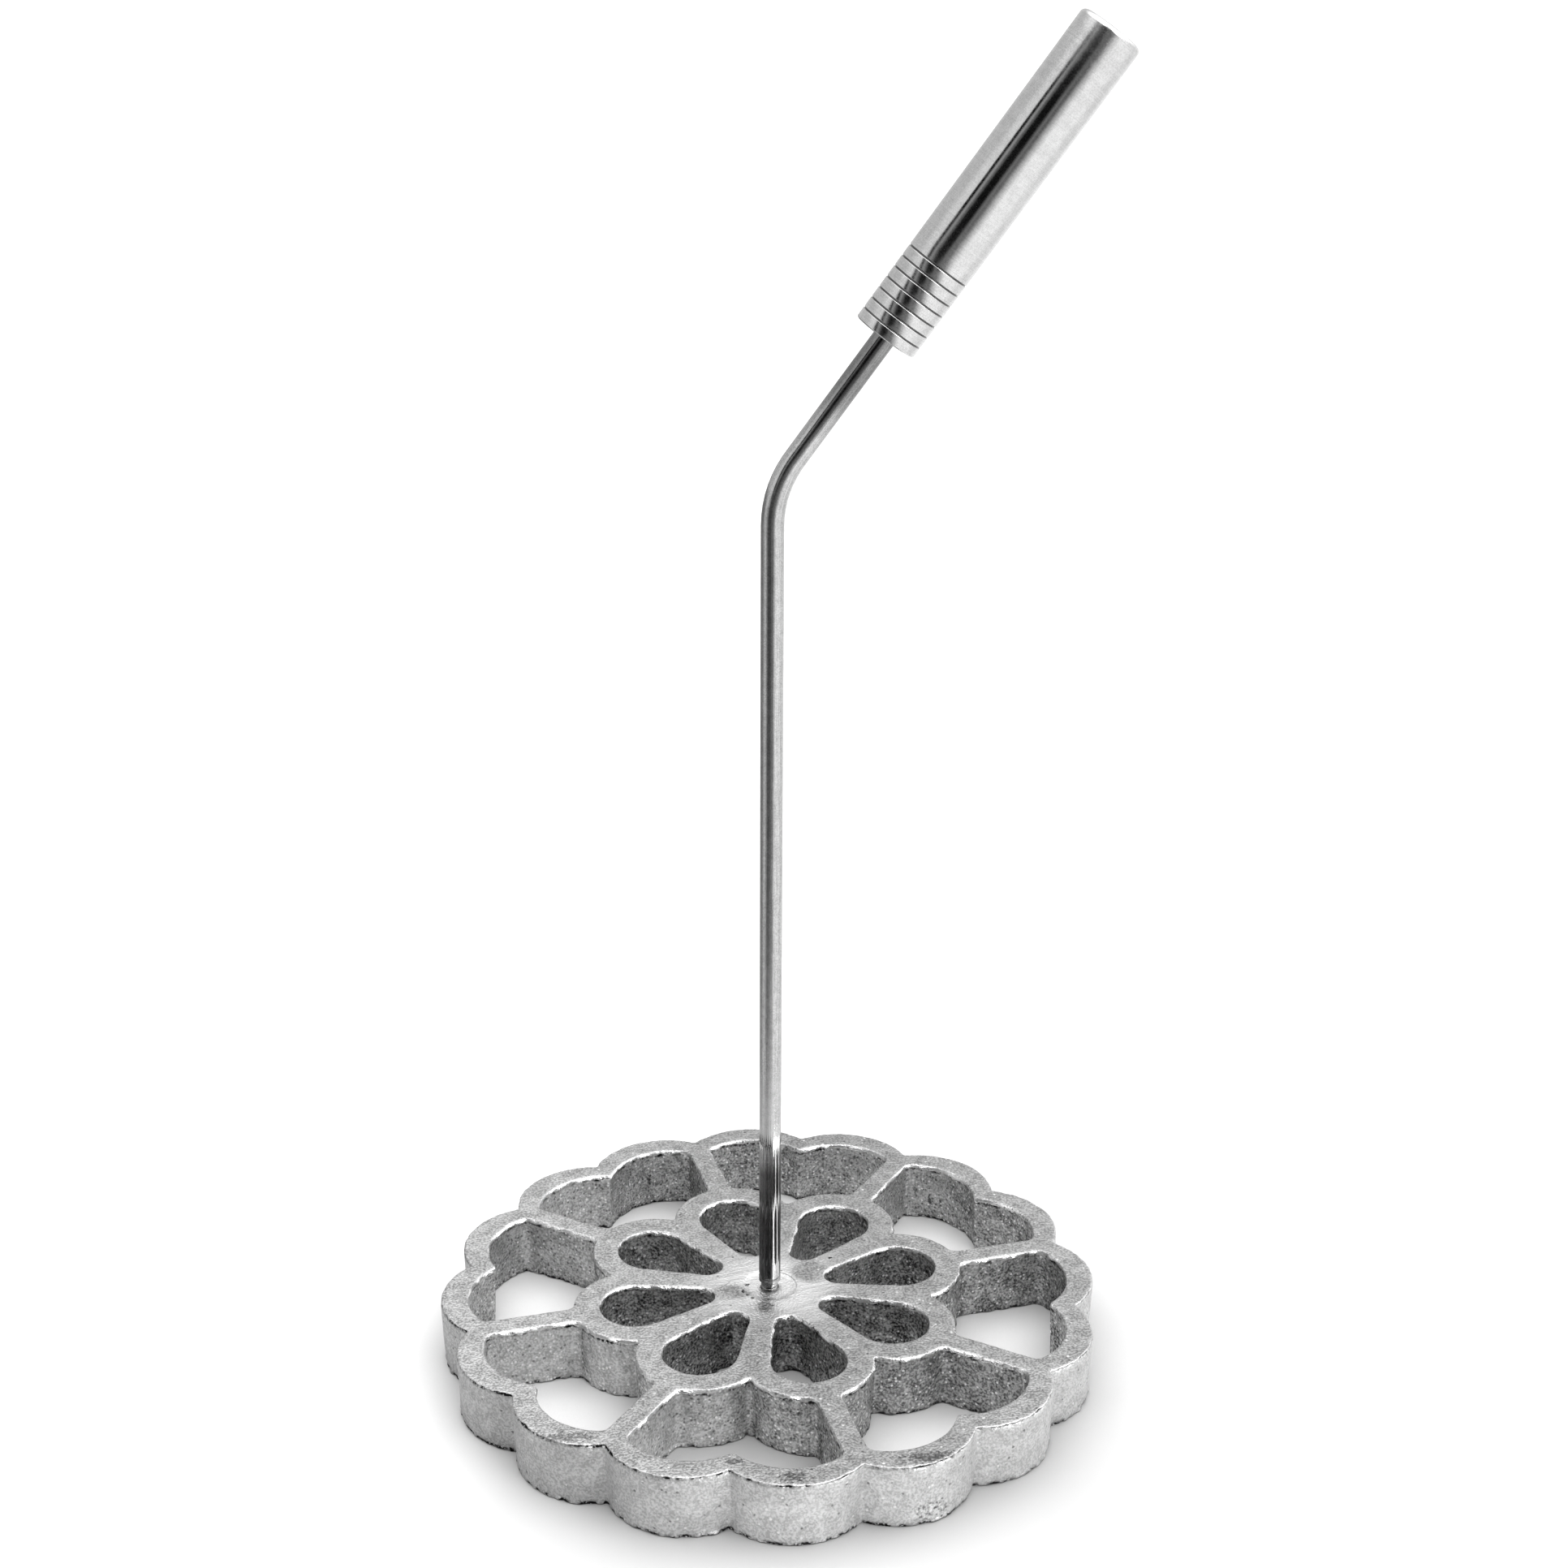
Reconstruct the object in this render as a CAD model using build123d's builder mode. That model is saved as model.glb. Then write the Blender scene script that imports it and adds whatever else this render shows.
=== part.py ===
from build123d import *
import os
from math import atan2, cos, degrees, hypot, radians, sin

# Rosette iron: a cast mould of eight petals inside a scalloped rim, a bent
# steel rod that screws into its hub, and a turned bar as the handle.
# Millimetres. The origin is the centre of the mould's underside, +Z goes up
# along the rod, and the handle leans towards +X.

# Mould: pattern and depth
mould_depth = 15.5
petal_count = 8
pattern_turn = 12.0  # degrees from +X to the first spoke
draft_angle = 2.2  # every wall gets thinner towards the bottom, so that the fritter slips off

# Mould: rim of scallops, two to each cell
rim_crown_radius = 76.8
scallop_rise = 5.1  # how far a crown stands out past the valleys beside it
rim_wall = 6.4

# Mould: petals, each a drop-shaped opening with a wall round it
petal_ring_radius = 32.0  # centres of the petals' round ends
drop_end_radius = 8.6
drop_tip_ring_radius = 17.1
drop_tip_radius = 3.65
petal_wall = 6.0

# Mould: spokes from the petals to the rim
spoke_width = 5.3
web_fillet = 2.2

# Mould: hub, spot-faced and drilled for the rod's thread
spot_face_radius = 6.3
spot_face_depth = 0.3
hub_hole_depth = 12.8

# Rod
rod_diameter = 5.0
thread_diameter = 4.0
thread_clearance = 0.05  # radial, between a threaded end and its hole
thread_chamfer = 0.5
thread_end_gap = 1.0  # from a threaded end to the bottom of its hole
shoulder_height = 1.2  # from the mould's top face up to the rod's shoulder
shoulder_chamfer = 0.45
bend_height = 206.7  # where the rod's two straight axes would meet
bend_radius = 24.0
lean_angle = 36.0
slant_length = 38.8  # from that corner to the handle's mouth

# Handle
handle_diameter = 14.3
handle_length = 74.6
handle_end_radius = 1.2
mouth_chamfer = 0.25
groove_count = 7
first_groove = 2.45
groove_pitch = 2.57
groove_depth = 0.22
socket_depth = 8.0  # how far the rod enters at its full diameter
socket_clearance = 0.05  # radial
socket_seat_gap = 0.05  # between the rod's upper shoulder and the socket's floor
socket_thread_depth = 13.0  # from the socket's floor to the bottom of the tapped hole

# Derived directions and places
rim_valley_radius = rim_crown_radius - scallop_rise
scallop_count = 2 * petal_count
scallop_step = 360 / scallop_count
petal_step = 360 / petal_count
top_face = Plane.XY.offset(mould_depth)
hub_hole_floor = mould_depth - hub_hole_depth
shoulder_plane = Plane.XY.offset(mould_depth + shoulder_height)
lean_direction = Vector(sin(radians(lean_angle)), 0, cos(radians(lean_angle)))
bend_corner = Vector(0, 0, bend_height)
mouth = bend_corner + lean_direction * slant_length
mouth_plane = Plane(origin=mouth, x_dir=(0, 1, 0), z_dir=lean_direction)
socket_floor = mouth_plane.offset(socket_depth)
rod_end_plane = mouth_plane.offset(socket_depth - socket_seat_gap)
handle_section = Plane(origin=mouth, x_dir=lean_direction, z_dir=(0, -1, 0))
handle_axis = Axis(mouth, lean_direction)


def polar(radius, angle):
    """Point at a radius and an angle in degrees from +X."""
    return (radius * cos(radians(angle)), radius * sin(radians(angle)))


def scalloped_outline(valley_radius, crown_radius):
    """Closed ring of arcs, each from a valley over its crown to the next valley."""
    for number in range(scallop_count):
        start = pattern_turn + number * scallop_step
        ThreePointArc(
            polar(valley_radius, start),
            polar(crown_radius, start + scallop_step / 2),
            polar(valley_radius, start + scallop_step),
        )


def meets_a_spoke(corner):
    """Whether a corner of a cell's outline lies on the side of a spoke."""
    angle = degrees(atan2(corner.Y, corner.X)) - pattern_turn
    from_spoke = abs((angle + petal_step / 2) % petal_step - petal_step / 2)
    return hypot(corner.X, corner.Y) * sin(radians(from_spoke)) < spoke_width


with BuildSketch() as drop:
    with Locations((petal_ring_radius, 0)):
        Circle(drop_end_radius)
    with Locations((drop_tip_ring_radius, 0)):
        Circle(drop_tip_radius)
    make_hull()

# eight cells between the rim, the spokes and the outsides of the petals
with BuildSketch(top_face) as cells:
    with BuildLine():
        scalloped_outline(rim_valley_radius - rim_wall, rim_crown_radius - rim_wall)
    make_face()
    Circle(petal_ring_radius, mode=Mode.SUBTRACT)
    with PolarLocations(petal_ring_radius, petal_count, start_angle=pattern_turn):
        Circle(drop_end_radius + petal_wall, mode=Mode.SUBTRACT)
    with PolarLocations(0, petal_count, start_angle=pattern_turn):
        Rectangle(
            rim_crown_radius,
            spoke_width,
            align=(Align.MIN, Align.CENTER),
            mode=Mode.SUBTRACT,
        )
    fillet(cells.vertices().filter_by(meets_a_spoke), radius=web_fillet)

with BuildPart() as rosette_mould:
    with BuildSketch(top_face):
        with BuildLine():
            scalloped_outline(rim_valley_radius, rim_crown_radius)
        make_face()
    extrude(amount=-mould_depth, taper=draft_angle)
    for cell in cells.sketch.faces():
        extrude(cell, amount=-mould_depth, taper=-draft_angle, mode=Mode.SUBTRACT)

    # a drop-shaped opening in each petal
    with BuildSketch(top_face):
        with PolarLocations(0, petal_count, start_angle=pattern_turn):
            add(drop.sketch)
    extrude(amount=-mould_depth, taper=-draft_angle, mode=Mode.SUBTRACT)

    with Locations(top_face):
        CounterBoreHole(
            radius=thread_diameter / 2 + thread_clearance,
            counter_bore_radius=spot_face_radius,
            counter_bore_depth=spot_face_depth,
            depth=hub_hole_depth,
        )

with BuildPart() as bent_rod:
    with BuildLine() as rod_line:
        FilletPolyline(
            shoulder_plane.origin,
            bend_corner,
            rod_end_plane.origin,
            radius=bend_radius,
        )
    with BuildSketch(shoulder_plane):
        Circle(rod_diameter / 2)
    sweep(path=rod_line.wires()[0])
    chamfer(bent_rod.edges().group_by(Axis.Z)[0], length=shoulder_chamfer)

    # reduced ends that carry the threads: one in the hub, one in the handle
    foot_length = shoulder_plane.origin.Z - hub_hole_floor - thread_end_gap
    with BuildSketch(shoulder_plane):
        Circle(thread_diameter / 2)
    extrude(amount=-foot_length)
    chamfer(bent_rod.edges().group_by(Axis.Z)[0], length=thread_chamfer)

    tip_length = socket_thread_depth + socket_seat_gap - thread_end_gap
    with BuildSketch(rod_end_plane):
        Circle(thread_diameter / 2)
    extrude(amount=tip_length)
    chamfer(bent_rod.edges().group_by(handle_axis)[-1], length=thread_chamfer)

with BuildPart() as handle:
    with BuildSketch(mouth_plane):
        Circle(handle_diameter / 2)
    extrude(amount=handle_length)
    fillet(handle.edges().group_by(handle_axis)[-1], radius=handle_end_radius)
    chamfer(handle.edges().group_by(handle_axis)[0], length=mouth_chamfer)

    # ring of fine turned grooves near the mouth
    with BuildSketch(handle_section):
        grooves = [
            (first_groove + number * groove_pitch, handle_diameter / 2)
            for number in range(groove_count)
        ]
        with Locations(*grooves):
            RegularPolygon(radius=groove_depth, side_count=4)
    revolve(axis=handle_axis, mode=Mode.SUBTRACT)

    # socket for the rod, then the tapped hole for its thread
    with BuildSketch(mouth_plane):
        Circle(rod_diameter / 2 + socket_clearance)
    extrude(amount=socket_depth, mode=Mode.SUBTRACT)
    with BuildSketch(socket_floor):
        Circle(thread_diameter / 2 + thread_clearance)
    extrude(amount=socket_thread_depth, mode=Mode.SUBTRACT)

rosette_mould.part.label = "rosette_mould"
bent_rod.part.label = "bent_rod"
handle.part.label = "handle"

os.makedirs("parts", exist_ok=True)
export_step(rosette_mould.part, "parts/rosette_mould.step")
export_step(bent_rod.part, "parts/bent_rod.step")
export_step(handle.part, "parts/handle.step")
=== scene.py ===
"""Rosette iron: a cast mould of petals in a scalloped rim, a bent steel rod and a turned handle.

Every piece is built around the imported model, in its frame. The classes give their sizes in
millimetres, as on a drawing, and MM turns them into the metres of the scene.
"""

import logging
import math
from dataclasses import dataclass
from enum import Enum

import bmesh
import bpy
import numpy as np
from mathutils import Matrix, Vector
from mathutils.geometry import delaunay_2d_cdt


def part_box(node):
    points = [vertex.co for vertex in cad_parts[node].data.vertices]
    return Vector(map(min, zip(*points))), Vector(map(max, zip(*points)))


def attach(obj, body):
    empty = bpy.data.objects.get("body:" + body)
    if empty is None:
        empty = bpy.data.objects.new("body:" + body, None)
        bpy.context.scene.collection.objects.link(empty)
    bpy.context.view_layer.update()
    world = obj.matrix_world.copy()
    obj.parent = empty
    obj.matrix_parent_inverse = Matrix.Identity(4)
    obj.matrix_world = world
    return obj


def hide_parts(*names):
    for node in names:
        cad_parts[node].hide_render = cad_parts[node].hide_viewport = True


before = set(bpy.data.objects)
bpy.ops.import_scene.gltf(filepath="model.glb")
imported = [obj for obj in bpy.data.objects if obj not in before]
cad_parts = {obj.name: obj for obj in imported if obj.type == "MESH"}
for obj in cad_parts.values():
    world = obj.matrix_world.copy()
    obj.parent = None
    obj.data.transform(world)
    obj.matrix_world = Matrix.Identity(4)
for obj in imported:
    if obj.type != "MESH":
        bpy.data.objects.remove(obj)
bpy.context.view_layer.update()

MM = 0.001
log = logging.getLogger("rosette_iron")


class Body(Enum):
    """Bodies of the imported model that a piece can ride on."""

    MOULD = "mould"
    ROD = "rod"
    GRIP = "grip"


class LatticeNoise:
    """Smooth random field: seeded values on a cubic lattice, blended between its corners."""

    def __init__(self, seed: int, size: int = 32) -> None:
        """Draws the lattice.

        Args:
            seed: seed of the random draw.
            size: lattice corners a side, after which the field repeats.
        """
        self.size = size
        self.values = np.random.default_rng(seed).uniform(-1.0, 1.0, (size, size, size))

    def at(self, points: np.ndarray, period: float) -> np.ndarray:
        """Value from -1 to 1 at each point: the eight corner values round it, each weighted by
        the product of three smoothsteps of its nearness.

        Args:
            points: array (..., 3), in millimetres.
            period: distance between lattice corners, in millimetres.

        Returns:
            Array of the points' shape without the last axis.
        """
        scaled = points / period
        corner = np.floor(scaled).astype(int)
        inside = scaled - corner
        rise = inside * inside * (3.0 - 2.0 * inside)
        total = np.zeros(points.shape[:-1])
        for step in np.ndindex(2, 2, 2):
            share = np.prod(np.where(step, rise, 1.0 - rise), axis=-1)
            index = (corner + step) % self.size
            total += share * self.values[index[..., 0], index[..., 1], index[..., 2]]
        return total


class Shell:
    """Surfaces gathered into one closed mesh, with values kept at its points."""

    def __init__(self, values: tuple[str, ...] = ()) -> None:
        """Starts an empty shell.

        Args:
            values: names of the point values that every surface brings.
        """
        self.names = values
        self.points: list[np.ndarray] = []
        self.values: list[np.ndarray] = []
        self.faces: list[list[int]] = []
        self.count = 0

    def add(self, points: np.ndarray, faces: np.ndarray, values: np.ndarray | None = None) -> None:
        """Adds one or more copies of a surface that share their faces' pattern.

        Args:
            points: array (copies, n, 3), in millimetres.
            faces: array (m, corners) of indices into the n points.
            values: array (copies, n, number of names), or None for zeros.
        """
        copies, number = points.shape[:2]
        if values is None:
            values = np.zeros((copies, number, len(self.names)))
        starts = self.count + number * np.arange(copies)
        self.faces += (starts[:, None, None] + faces).reshape(-1, faces.shape[1]).tolist()
        self.points.append(points.reshape(-1, 3))
        self.values.append(values.reshape(-1, len(self.names)))
        self.count += copies * number

    def finish(self, name: str) -> bpy.types.Object:
        """Joins the surfaces where they meet and turns every face outwards.

        Args:
            name: name of the finished piece.

        Returns:
            The new object, at the origin, with smooth shading.
        """
        mesh = bpy.data.meshes.new(name)
        mesh.from_pydata((np.concatenate(self.points) * MM).tolist(), [], self.faces)
        values = np.concatenate(self.values).astype(np.float32)
        for column, label in enumerate(self.names):
            attribute = mesh.attributes.new(label, "FLOAT", "POINT")
            attribute.data.foreach_set("value", np.ascontiguousarray(values[:, column]))
        work = bmesh.new()
        work.from_mesh(mesh)
        bmesh.ops.remove_doubles(work, verts=work.verts, dist=0.001 * MM)
        bmesh.ops.dissolve_degenerate(work, edges=work.edges, dist=0.0005 * MM)
        bmesh.ops.recalc_face_normals(work, faces=work.faces)
        open_edges = sum(1 for edge in work.edges if not edge.is_manifold)
        work.to_mesh(mesh)
        work.free()
        mesh.polygons.foreach_set("use_smooth", np.ones(len(mesh.polygons), bool))
        log.info("%s: %d faces, %d open edges", name, len(mesh.polygons), open_edges)
        piece = bpy.data.objects.new(name, mesh)
        bpy.context.scene.collection.objects.link(piece)
        return piece


def grid_faces(rows: int, columns: int) -> np.ndarray:
    """Quads of a grid whose points are numbered row by row.

    Args:
        rows: rows of points.
        columns: points in a row.

    Returns:
        Array (quads, 4) of point indices.
    """
    index = np.arange(rows * columns).reshape(rows, columns)
    corners = (index[:-1, :-1], index[:-1, 1:], index[1:, 1:], index[1:, :-1])
    return np.stack(corners, axis=-1).reshape(-1, 4)


def smoothstep(values: np.ndarray, low: float, high: float) -> np.ndarray:
    """Eased rise from 0 at low to 1 at high."""
    share = np.clip((values - low) / (high - low), 0.0, 1.0)
    return share * share * (3.0 - 2.0 * share)


def unit(angle: np.ndarray | float) -> np.ndarray:
    """Direction at an angle in degrees from +X, in the plane."""
    return np.stack((np.cos(np.radians(angle)), np.sin(np.radians(angle))), axis=-1)


def direction_of(step: np.ndarray) -> float:
    """Angle in degrees from +X of a step in the plane."""
    return math.degrees(math.atan2(step[1], step[0]))


@dataclass(frozen=True)
class Arc:
    """Arc of an outline seen from above, from one angle to another.

    into_metal is 1 where the metal lies outside the arc's circle, and -1 where it lies inside.
    """

    centre: np.ndarray
    radius: float
    start: float
    end: float
    into_metal: int

    def along(self, spacing: float) -> tuple[np.ndarray, np.ndarray]:
        """Points on the arc and the way into the metal at each.

        Args:
            spacing: greatest distance between points.

        Returns:
            Two arrays (n, 2): points and unit steps into the metal.
        """
        length = self.radius * math.radians(abs(self.end - self.start))
        number = max(3, math.ceil(length / spacing) + 1)
        outward = unit(np.linspace(self.start, self.end, number))
        return self.centre + self.radius * outward, self.into_metal * outward


class Outline:
    """Chain of arcs joined by their common tangents, which can be moved into the metal."""

    def __init__(self, arcs: list[Arc], spacing: float) -> None:
        """Works out the outline's points.

        Args:
            arcs: arcs in order, each meeting the next or sharing a tangent with it.
            spacing: greatest distance between points.
        """
        base, inward = arcs[0].along(spacing)
        for arc in arcs[1:]:
            points, steps = arc.along(spacing)
            gap = float(np.linalg.norm(points[0] - base[-1]))
            number = max(1, math.ceil(gap / spacing)) if gap > 1e-6 else 0
            share = np.arange(1, number)[:, None] / max(1, number)
            straight = base[-1] + share * (points[0] - base[-1])
            skip = 0 if number else 1
            base = np.concatenate((base, straight, points[skip:]))
            inward = np.concatenate((inward, np.repeat(steps[:1], len(straight), 0), steps[skip:]))
        self.base = base
        self.inward = inward

    def moved(self, inset: np.ndarray | float) -> np.ndarray:
        """Outline with each point moved into the metal by its inset, which broadcasts."""
        return self.base + np.asarray(inset)[..., None] * self.inward


@dataclass(frozen=True)
class WallRow:
    """One row of points down a wall, from the top face to the underside."""

    height: float
    inset: float
    sag: float = 0.0  # share of the burr's uneven height that shows here
    lip: float = 0.0  # share of the burr that hangs over the wall here
    ragged: float = 0.0  # share of the ragged edge that shows here
    # brightness of the burrs at this row: bare metal, with a painted highlight
    burr_and_highlight: float = 0.0
    # darkness at this row: grimy metal, with painted shade in the nicks, under the burrs and at the foot
    grime_and_shade: float = 0.0


def fill(boundary: np.ndarray, spacing: float) -> tuple[np.ndarray, np.ndarray]:
    """Triangles that fill a closed outline, with points on a hexagonal lattice inside it.

    Args:
        boundary: array (n, 2), in order, without the first point repeated.
        spacing: distance between lattice points.

    Returns:
        All points, the boundary's first, and the triangles' indices.
    """
    low, high = boundary.min(axis=0), boundary.max(axis=0)
    row_height = spacing * math.sqrt(0.75)
    across = np.arange(low[0], high[0], spacing)
    upward = np.arange(low[1], high[1], row_height)
    x, y = np.meshgrid(across, upward)
    x = x + spacing / 2 * (np.arange(len(upward)) % 2)[:, None]
    lattice = np.stack((x, y), axis=-1).reshape(-1, 2)

    # a point is inside if a ray from it along +X crosses the outline an odd number of times
    first, second = boundary, np.roll(boundary, -1, axis=0)
    rise = second[:, 1] - first[:, 1]
    rise = np.where(np.abs(rise) < 1e-12, 1e-12, rise)
    share = (lattice[:, None, 1] - first[:, 1]) / rise
    crossing = first[:, 0] + share * (second[:, 0] - first[:, 0])
    above = (first[:, 1] > lattice[:, None, 1]) != (second[:, 1] > lattice[:, None, 1])
    inside = (above & (lattice[:, None, 0] < crossing)).sum(axis=1) % 2 == 1
    lattice = lattice[inside]
    nearest = np.linalg.norm(lattice[:, None] - boundary, axis=-1).min(axis=1)
    lattice = lattice[nearest > 0.55 * spacing]

    points = np.concatenate((boundary, lattice))
    edges = [(i, (i + 1) % len(boundary)) for i in range(len(boundary))]
    found = delaunay_2d_cdt([Vector(p) for p in points], edges, [], 1, 1e-7)
    source = [origins[0] for origins in found[3]]
    return points, np.array([[source[corner] for corner in face] for face in found[2]])


@dataclass(frozen=True)
class RosetteMould:
    """Casting of eight petals on spokes inside a scalloped rim, with drafted walls.

    The pattern repeats sixteen times: half a petal from the middle of its spoke to the middle
    of the cell beside it, mirrored and turned. The ragged edges and hollows follow a random
    field in space, so no two of the sixteen copies are alike.
    """

    petals: int = 8
    pattern_turn: float = 12.0
    draft: float = 2.2
    rim_crown_radius: float = 76.8
    scallop_rise: float = 5.1
    rim_wall: float = 6.4
    notch_radius: float = 0.5
    ridge_radius: float = 1.15
    petal_ring_radius: float = 32.0
    drop_end_radius: float = 8.6
    drop_tip_ring_radius: float = 17.1
    drop_tip_radius: float = 3.65
    petal_wall: float = 6.0
    spoke_width: float = 5.3
    web_fillet: float = 2.2
    cusp_fillet: float = 0.8
    spot_face_radius: float = 6.3
    spot_face_depth: float = 0.3
    hub_hole_radius: float = 2.05
    hub_hole_depth: float = 12.8
    point_spacing: float = 0.62
    face_spacing: float = 0.85
    underside_spacing: float = 2.4
    burr_sag: float = 0.30
    lip_reach: float = 0.42
    ragged_depth: float = 0.22
    waviness: float = 0.10
    wheel_and_light_way: tuple[float, float] = (-0.35, 0.94)
    lighter_cells: tuple[tuple[float, float, float, float], ...] = (
        (-46.0, -32.0, 46.0, 0.90),
        (-50.0, 44.0, 34.0, 0.60),
        (38.0, 58.0, 26.0, 0.5),
    )
    lighter_petals: tuple[tuple[float, float, float, float], ...] = ((0.0, 28.0, 26.0, 0.3),)

    @property
    def depth(self) -> float:
        """Height of the casting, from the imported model."""
        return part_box("rosette_mould")[1].z / MM

    @property
    def half_step(self) -> float:
        """Angle from a spoke to the middle of the cell beside it."""
        return 180.0 / self.petals

    def scallop(self, valley_radius: float, crown_radius: float) -> tuple[np.ndarray, float]:
        """Circle of the scallop beside a spoke: through two valleys and the crown between them.

        Args:
            valley_radius: distance of the valleys from the rod's axis.
            crown_radius: distance of the crown from the rod's axis.

        Returns:
            The circle's centre and radius.
        """
        quarter = math.radians(self.half_step / 2)
        half_chord = valley_radius * math.sin(quarter)
        rise = crown_radius - valley_radius * math.cos(quarter)
        radius = (half_chord**2 + rise**2) / (2 * rise)
        return (crown_radius - radius) * unit(self.half_step / 2), radius

    def on_ray(self, angle: float, centre: np.ndarray, distance: float) -> np.ndarray:
        """Outer point on a ray from the axis that lies a distance from a circle's centre."""
        ray = unit(angle)
        foot = float(ray @ centre)
        return ray * (foot + math.sqrt(distance**2 - float(centre @ centre) + foot**2))

    def rim_outline(self) -> Outline:
        """Outside of the rim, from the notch at the spoke to the notch at the cell's middle."""
        crown = self.rim_crown_radius
        centre, radius = self.scallop(crown - self.scallop_rise, crown)
        reach = radius + self.notch_radius
        at_spoke = self.on_ray(0.0, centre, reach)
        at_cell = self.on_ray(self.half_step, centre, reach)
        arcs = [
            Arc(at_spoke, self.notch_radius, 180.0, direction_of(centre - at_spoke), 1),
            Arc(centre, radius, direction_of(at_spoke - centre), direction_of(at_cell - centre), -1),
            Arc(
                at_cell,
                self.notch_radius,
                direction_of(centre - at_cell),
                self.half_step - 180.0,
                1,
            ),
        ]
        return Outline(arcs, self.point_spacing)

    def cell_outline(self) -> Outline:
        """Half of a cell: rim, spoke and petal, from the rim's ridge to the petals' cusp."""
        crown = self.rim_crown_radius - self.rim_wall
        centre, radius = self.scallop(crown - self.scallop_rise, crown)
        petal = np.array((self.petal_ring_radius, 0.0))
        petal_radius = self.drop_end_radius + self.petal_wall
        fillet, line = self.web_fillet, self.spoke_width / 2 + self.web_fillet
        ridge = self.on_ray(self.half_step, centre, radius + self.ridge_radius)
        cusp = self.on_ray(self.half_step, petal, petal_radius + self.cusp_fillet)
        by_rim = np.array((0.0, line))
        by_rim[0] = centre[0] + math.sqrt((radius - fillet) ** 2 - (line - centre[1]) ** 2)
        by_petal = np.array((petal[0] + math.sqrt((petal_radius + fillet) ** 2 - line**2), line))
        inward = self.half_step - 180.0
        arcs = [
            Arc(ridge, self.ridge_radius, inward, direction_of(centre - ridge), -1),
            Arc(centre, radius, direction_of(ridge - centre), direction_of(by_rim - centre), 1),
            Arc(by_rim, fillet, direction_of(by_rim - centre), -90.0, 1),
            Arc(by_petal, fillet, -90.0, direction_of(petal - by_petal), 1),
            Arc(petal, petal_radius, direction_of(by_petal - petal), direction_of(cusp - petal), -1),
            Arc(cusp, self.cusp_fillet, direction_of(petal - cusp), inward, 1),
        ]
        return Outline(arcs, self.point_spacing)

    def drop_outline(self) -> Outline:
        """Half of a petal's opening: round end, tangent and tip."""
        apart = self.petal_ring_radius - self.drop_tip_ring_radius
        tangent = math.degrees(math.acos((self.drop_tip_radius - self.drop_end_radius) / apart))
        end = np.array((self.petal_ring_radius, 0.0))
        tip = np.array((self.drop_tip_ring_radius, 0.0))
        arcs = [
            Arc(end, self.drop_end_radius, 0.0, tangent, 1),
            Arc(tip, self.drop_tip_radius, tangent, 180.0, 1),
        ]
        return Outline(arcs, self.point_spacing)

    def wall_rows(self, outside: bool) -> list[WallRow]:
        """Rows from the ground top face, over its edge, down the draft and round the foot.

        Args:
            outside: whether the wall is the rim's outside, whose edge is nicked, or a hole's,
                whose edge carries a burr.

        Returns:
            The rows from top to bottom.
        """
        top, lean = self.depth, math.tan(math.radians(self.draft))
        if outside:
            edge = [
                WallRow(top, 0.80),
                WallRow(top - 0.01, 0.40, ragged=0.6, burr_and_highlight=0.3),
                WallRow(top - 0.12, 0.14, ragged=1.0, burr_and_highlight=0.6, grime_and_shade=0.3),
                WallRow(top - 0.26, 0.12, ragged=1.2, grime_and_shade=1.1),
                WallRow(top - 0.44, 0.22, ragged=1.8, grime_and_shade=1.4),
                WallRow(top - 0.64, 0.10, ragged=1.0, grime_and_shade=0.6),
                WallRow(top - 0.95, 0.04, ragged=0.3),
            ]
        else:
            edge = [
                WallRow(top, 0.80),
                WallRow(top, 0.28, ragged=0.2),
                WallRow(top - 0.05, 0.17, ragged=0.4),
                WallRow(top - 0.20, 0.08, sag=0.3, lip=0.35, ragged=0.4, burr_and_highlight=0.6),
                WallRow(top - 0.46, 0.03, sag=0.7, lip=0.7, burr_and_highlight=1.0),
                WallRow(top - 0.72, -0.03, sag=1.0, lip=1.0, burr_and_highlight=1.0),
                WallRow(top - 0.92, 0.02, sag=1.0, lip=1.0, ragged=0.7, burr_and_highlight=0.9, grime_and_shade=0.2),
                WallRow(top - 1.10, 0.06, sag=1.0, lip=0.3, ragged=0.6, grime_and_shade=1.3),
                WallRow(top - 1.45, 0.06, sag=0.3, grime_and_shade=0.8),
            ]
        heights = np.linspace(top - 1.9, 1.25, 12)
        wall = [WallRow(height, (top - height) * lean) for height in heights]
        foot_inset = top * lean
        foot = [
            WallRow(0.88, foot_inset, lip=0.2, ragged=0.5, grime_and_shade=0.4),
            WallRow(0.58, foot_inset + 0.04, lip=0.8, ragged=1.2, grime_and_shade=1.1),
            WallRow(0.26, foot_inset + 0.10, lip=1.0, ragged=1.8, grime_and_shade=1.6),
            WallRow(0.03, foot_inset + 0.34, lip=0.4, ragged=1.0, grime_and_shade=1.5),
            WallRow(0.0, foot_inset + 0.5, grime_and_shade=1.3),
        ]
        return edge + wall + foot

    def spread(self, points: np.ndarray) -> np.ndarray:
        """Sixteen copies of points in the plane: each half petal, mirrored and turned.

        Args:
            points: array (..., 2) beside the first spoke's line.

        Returns:
            Array (copies, ..., 2).
        """
        copies = []
        for number in range(2 * self.petals):
            side = 1.0 if number % 2 == 0 else -1.0
            angle = math.radians(self.pattern_turn + (number // 2) * 360.0 / self.petals)
            turn = np.array(((math.cos(angle), math.sin(angle)), (-math.sin(angle), math.cos(angle))))
            copies.append((points * (1.0, side)) @ turn)
        return np.stack(copies)

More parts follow.
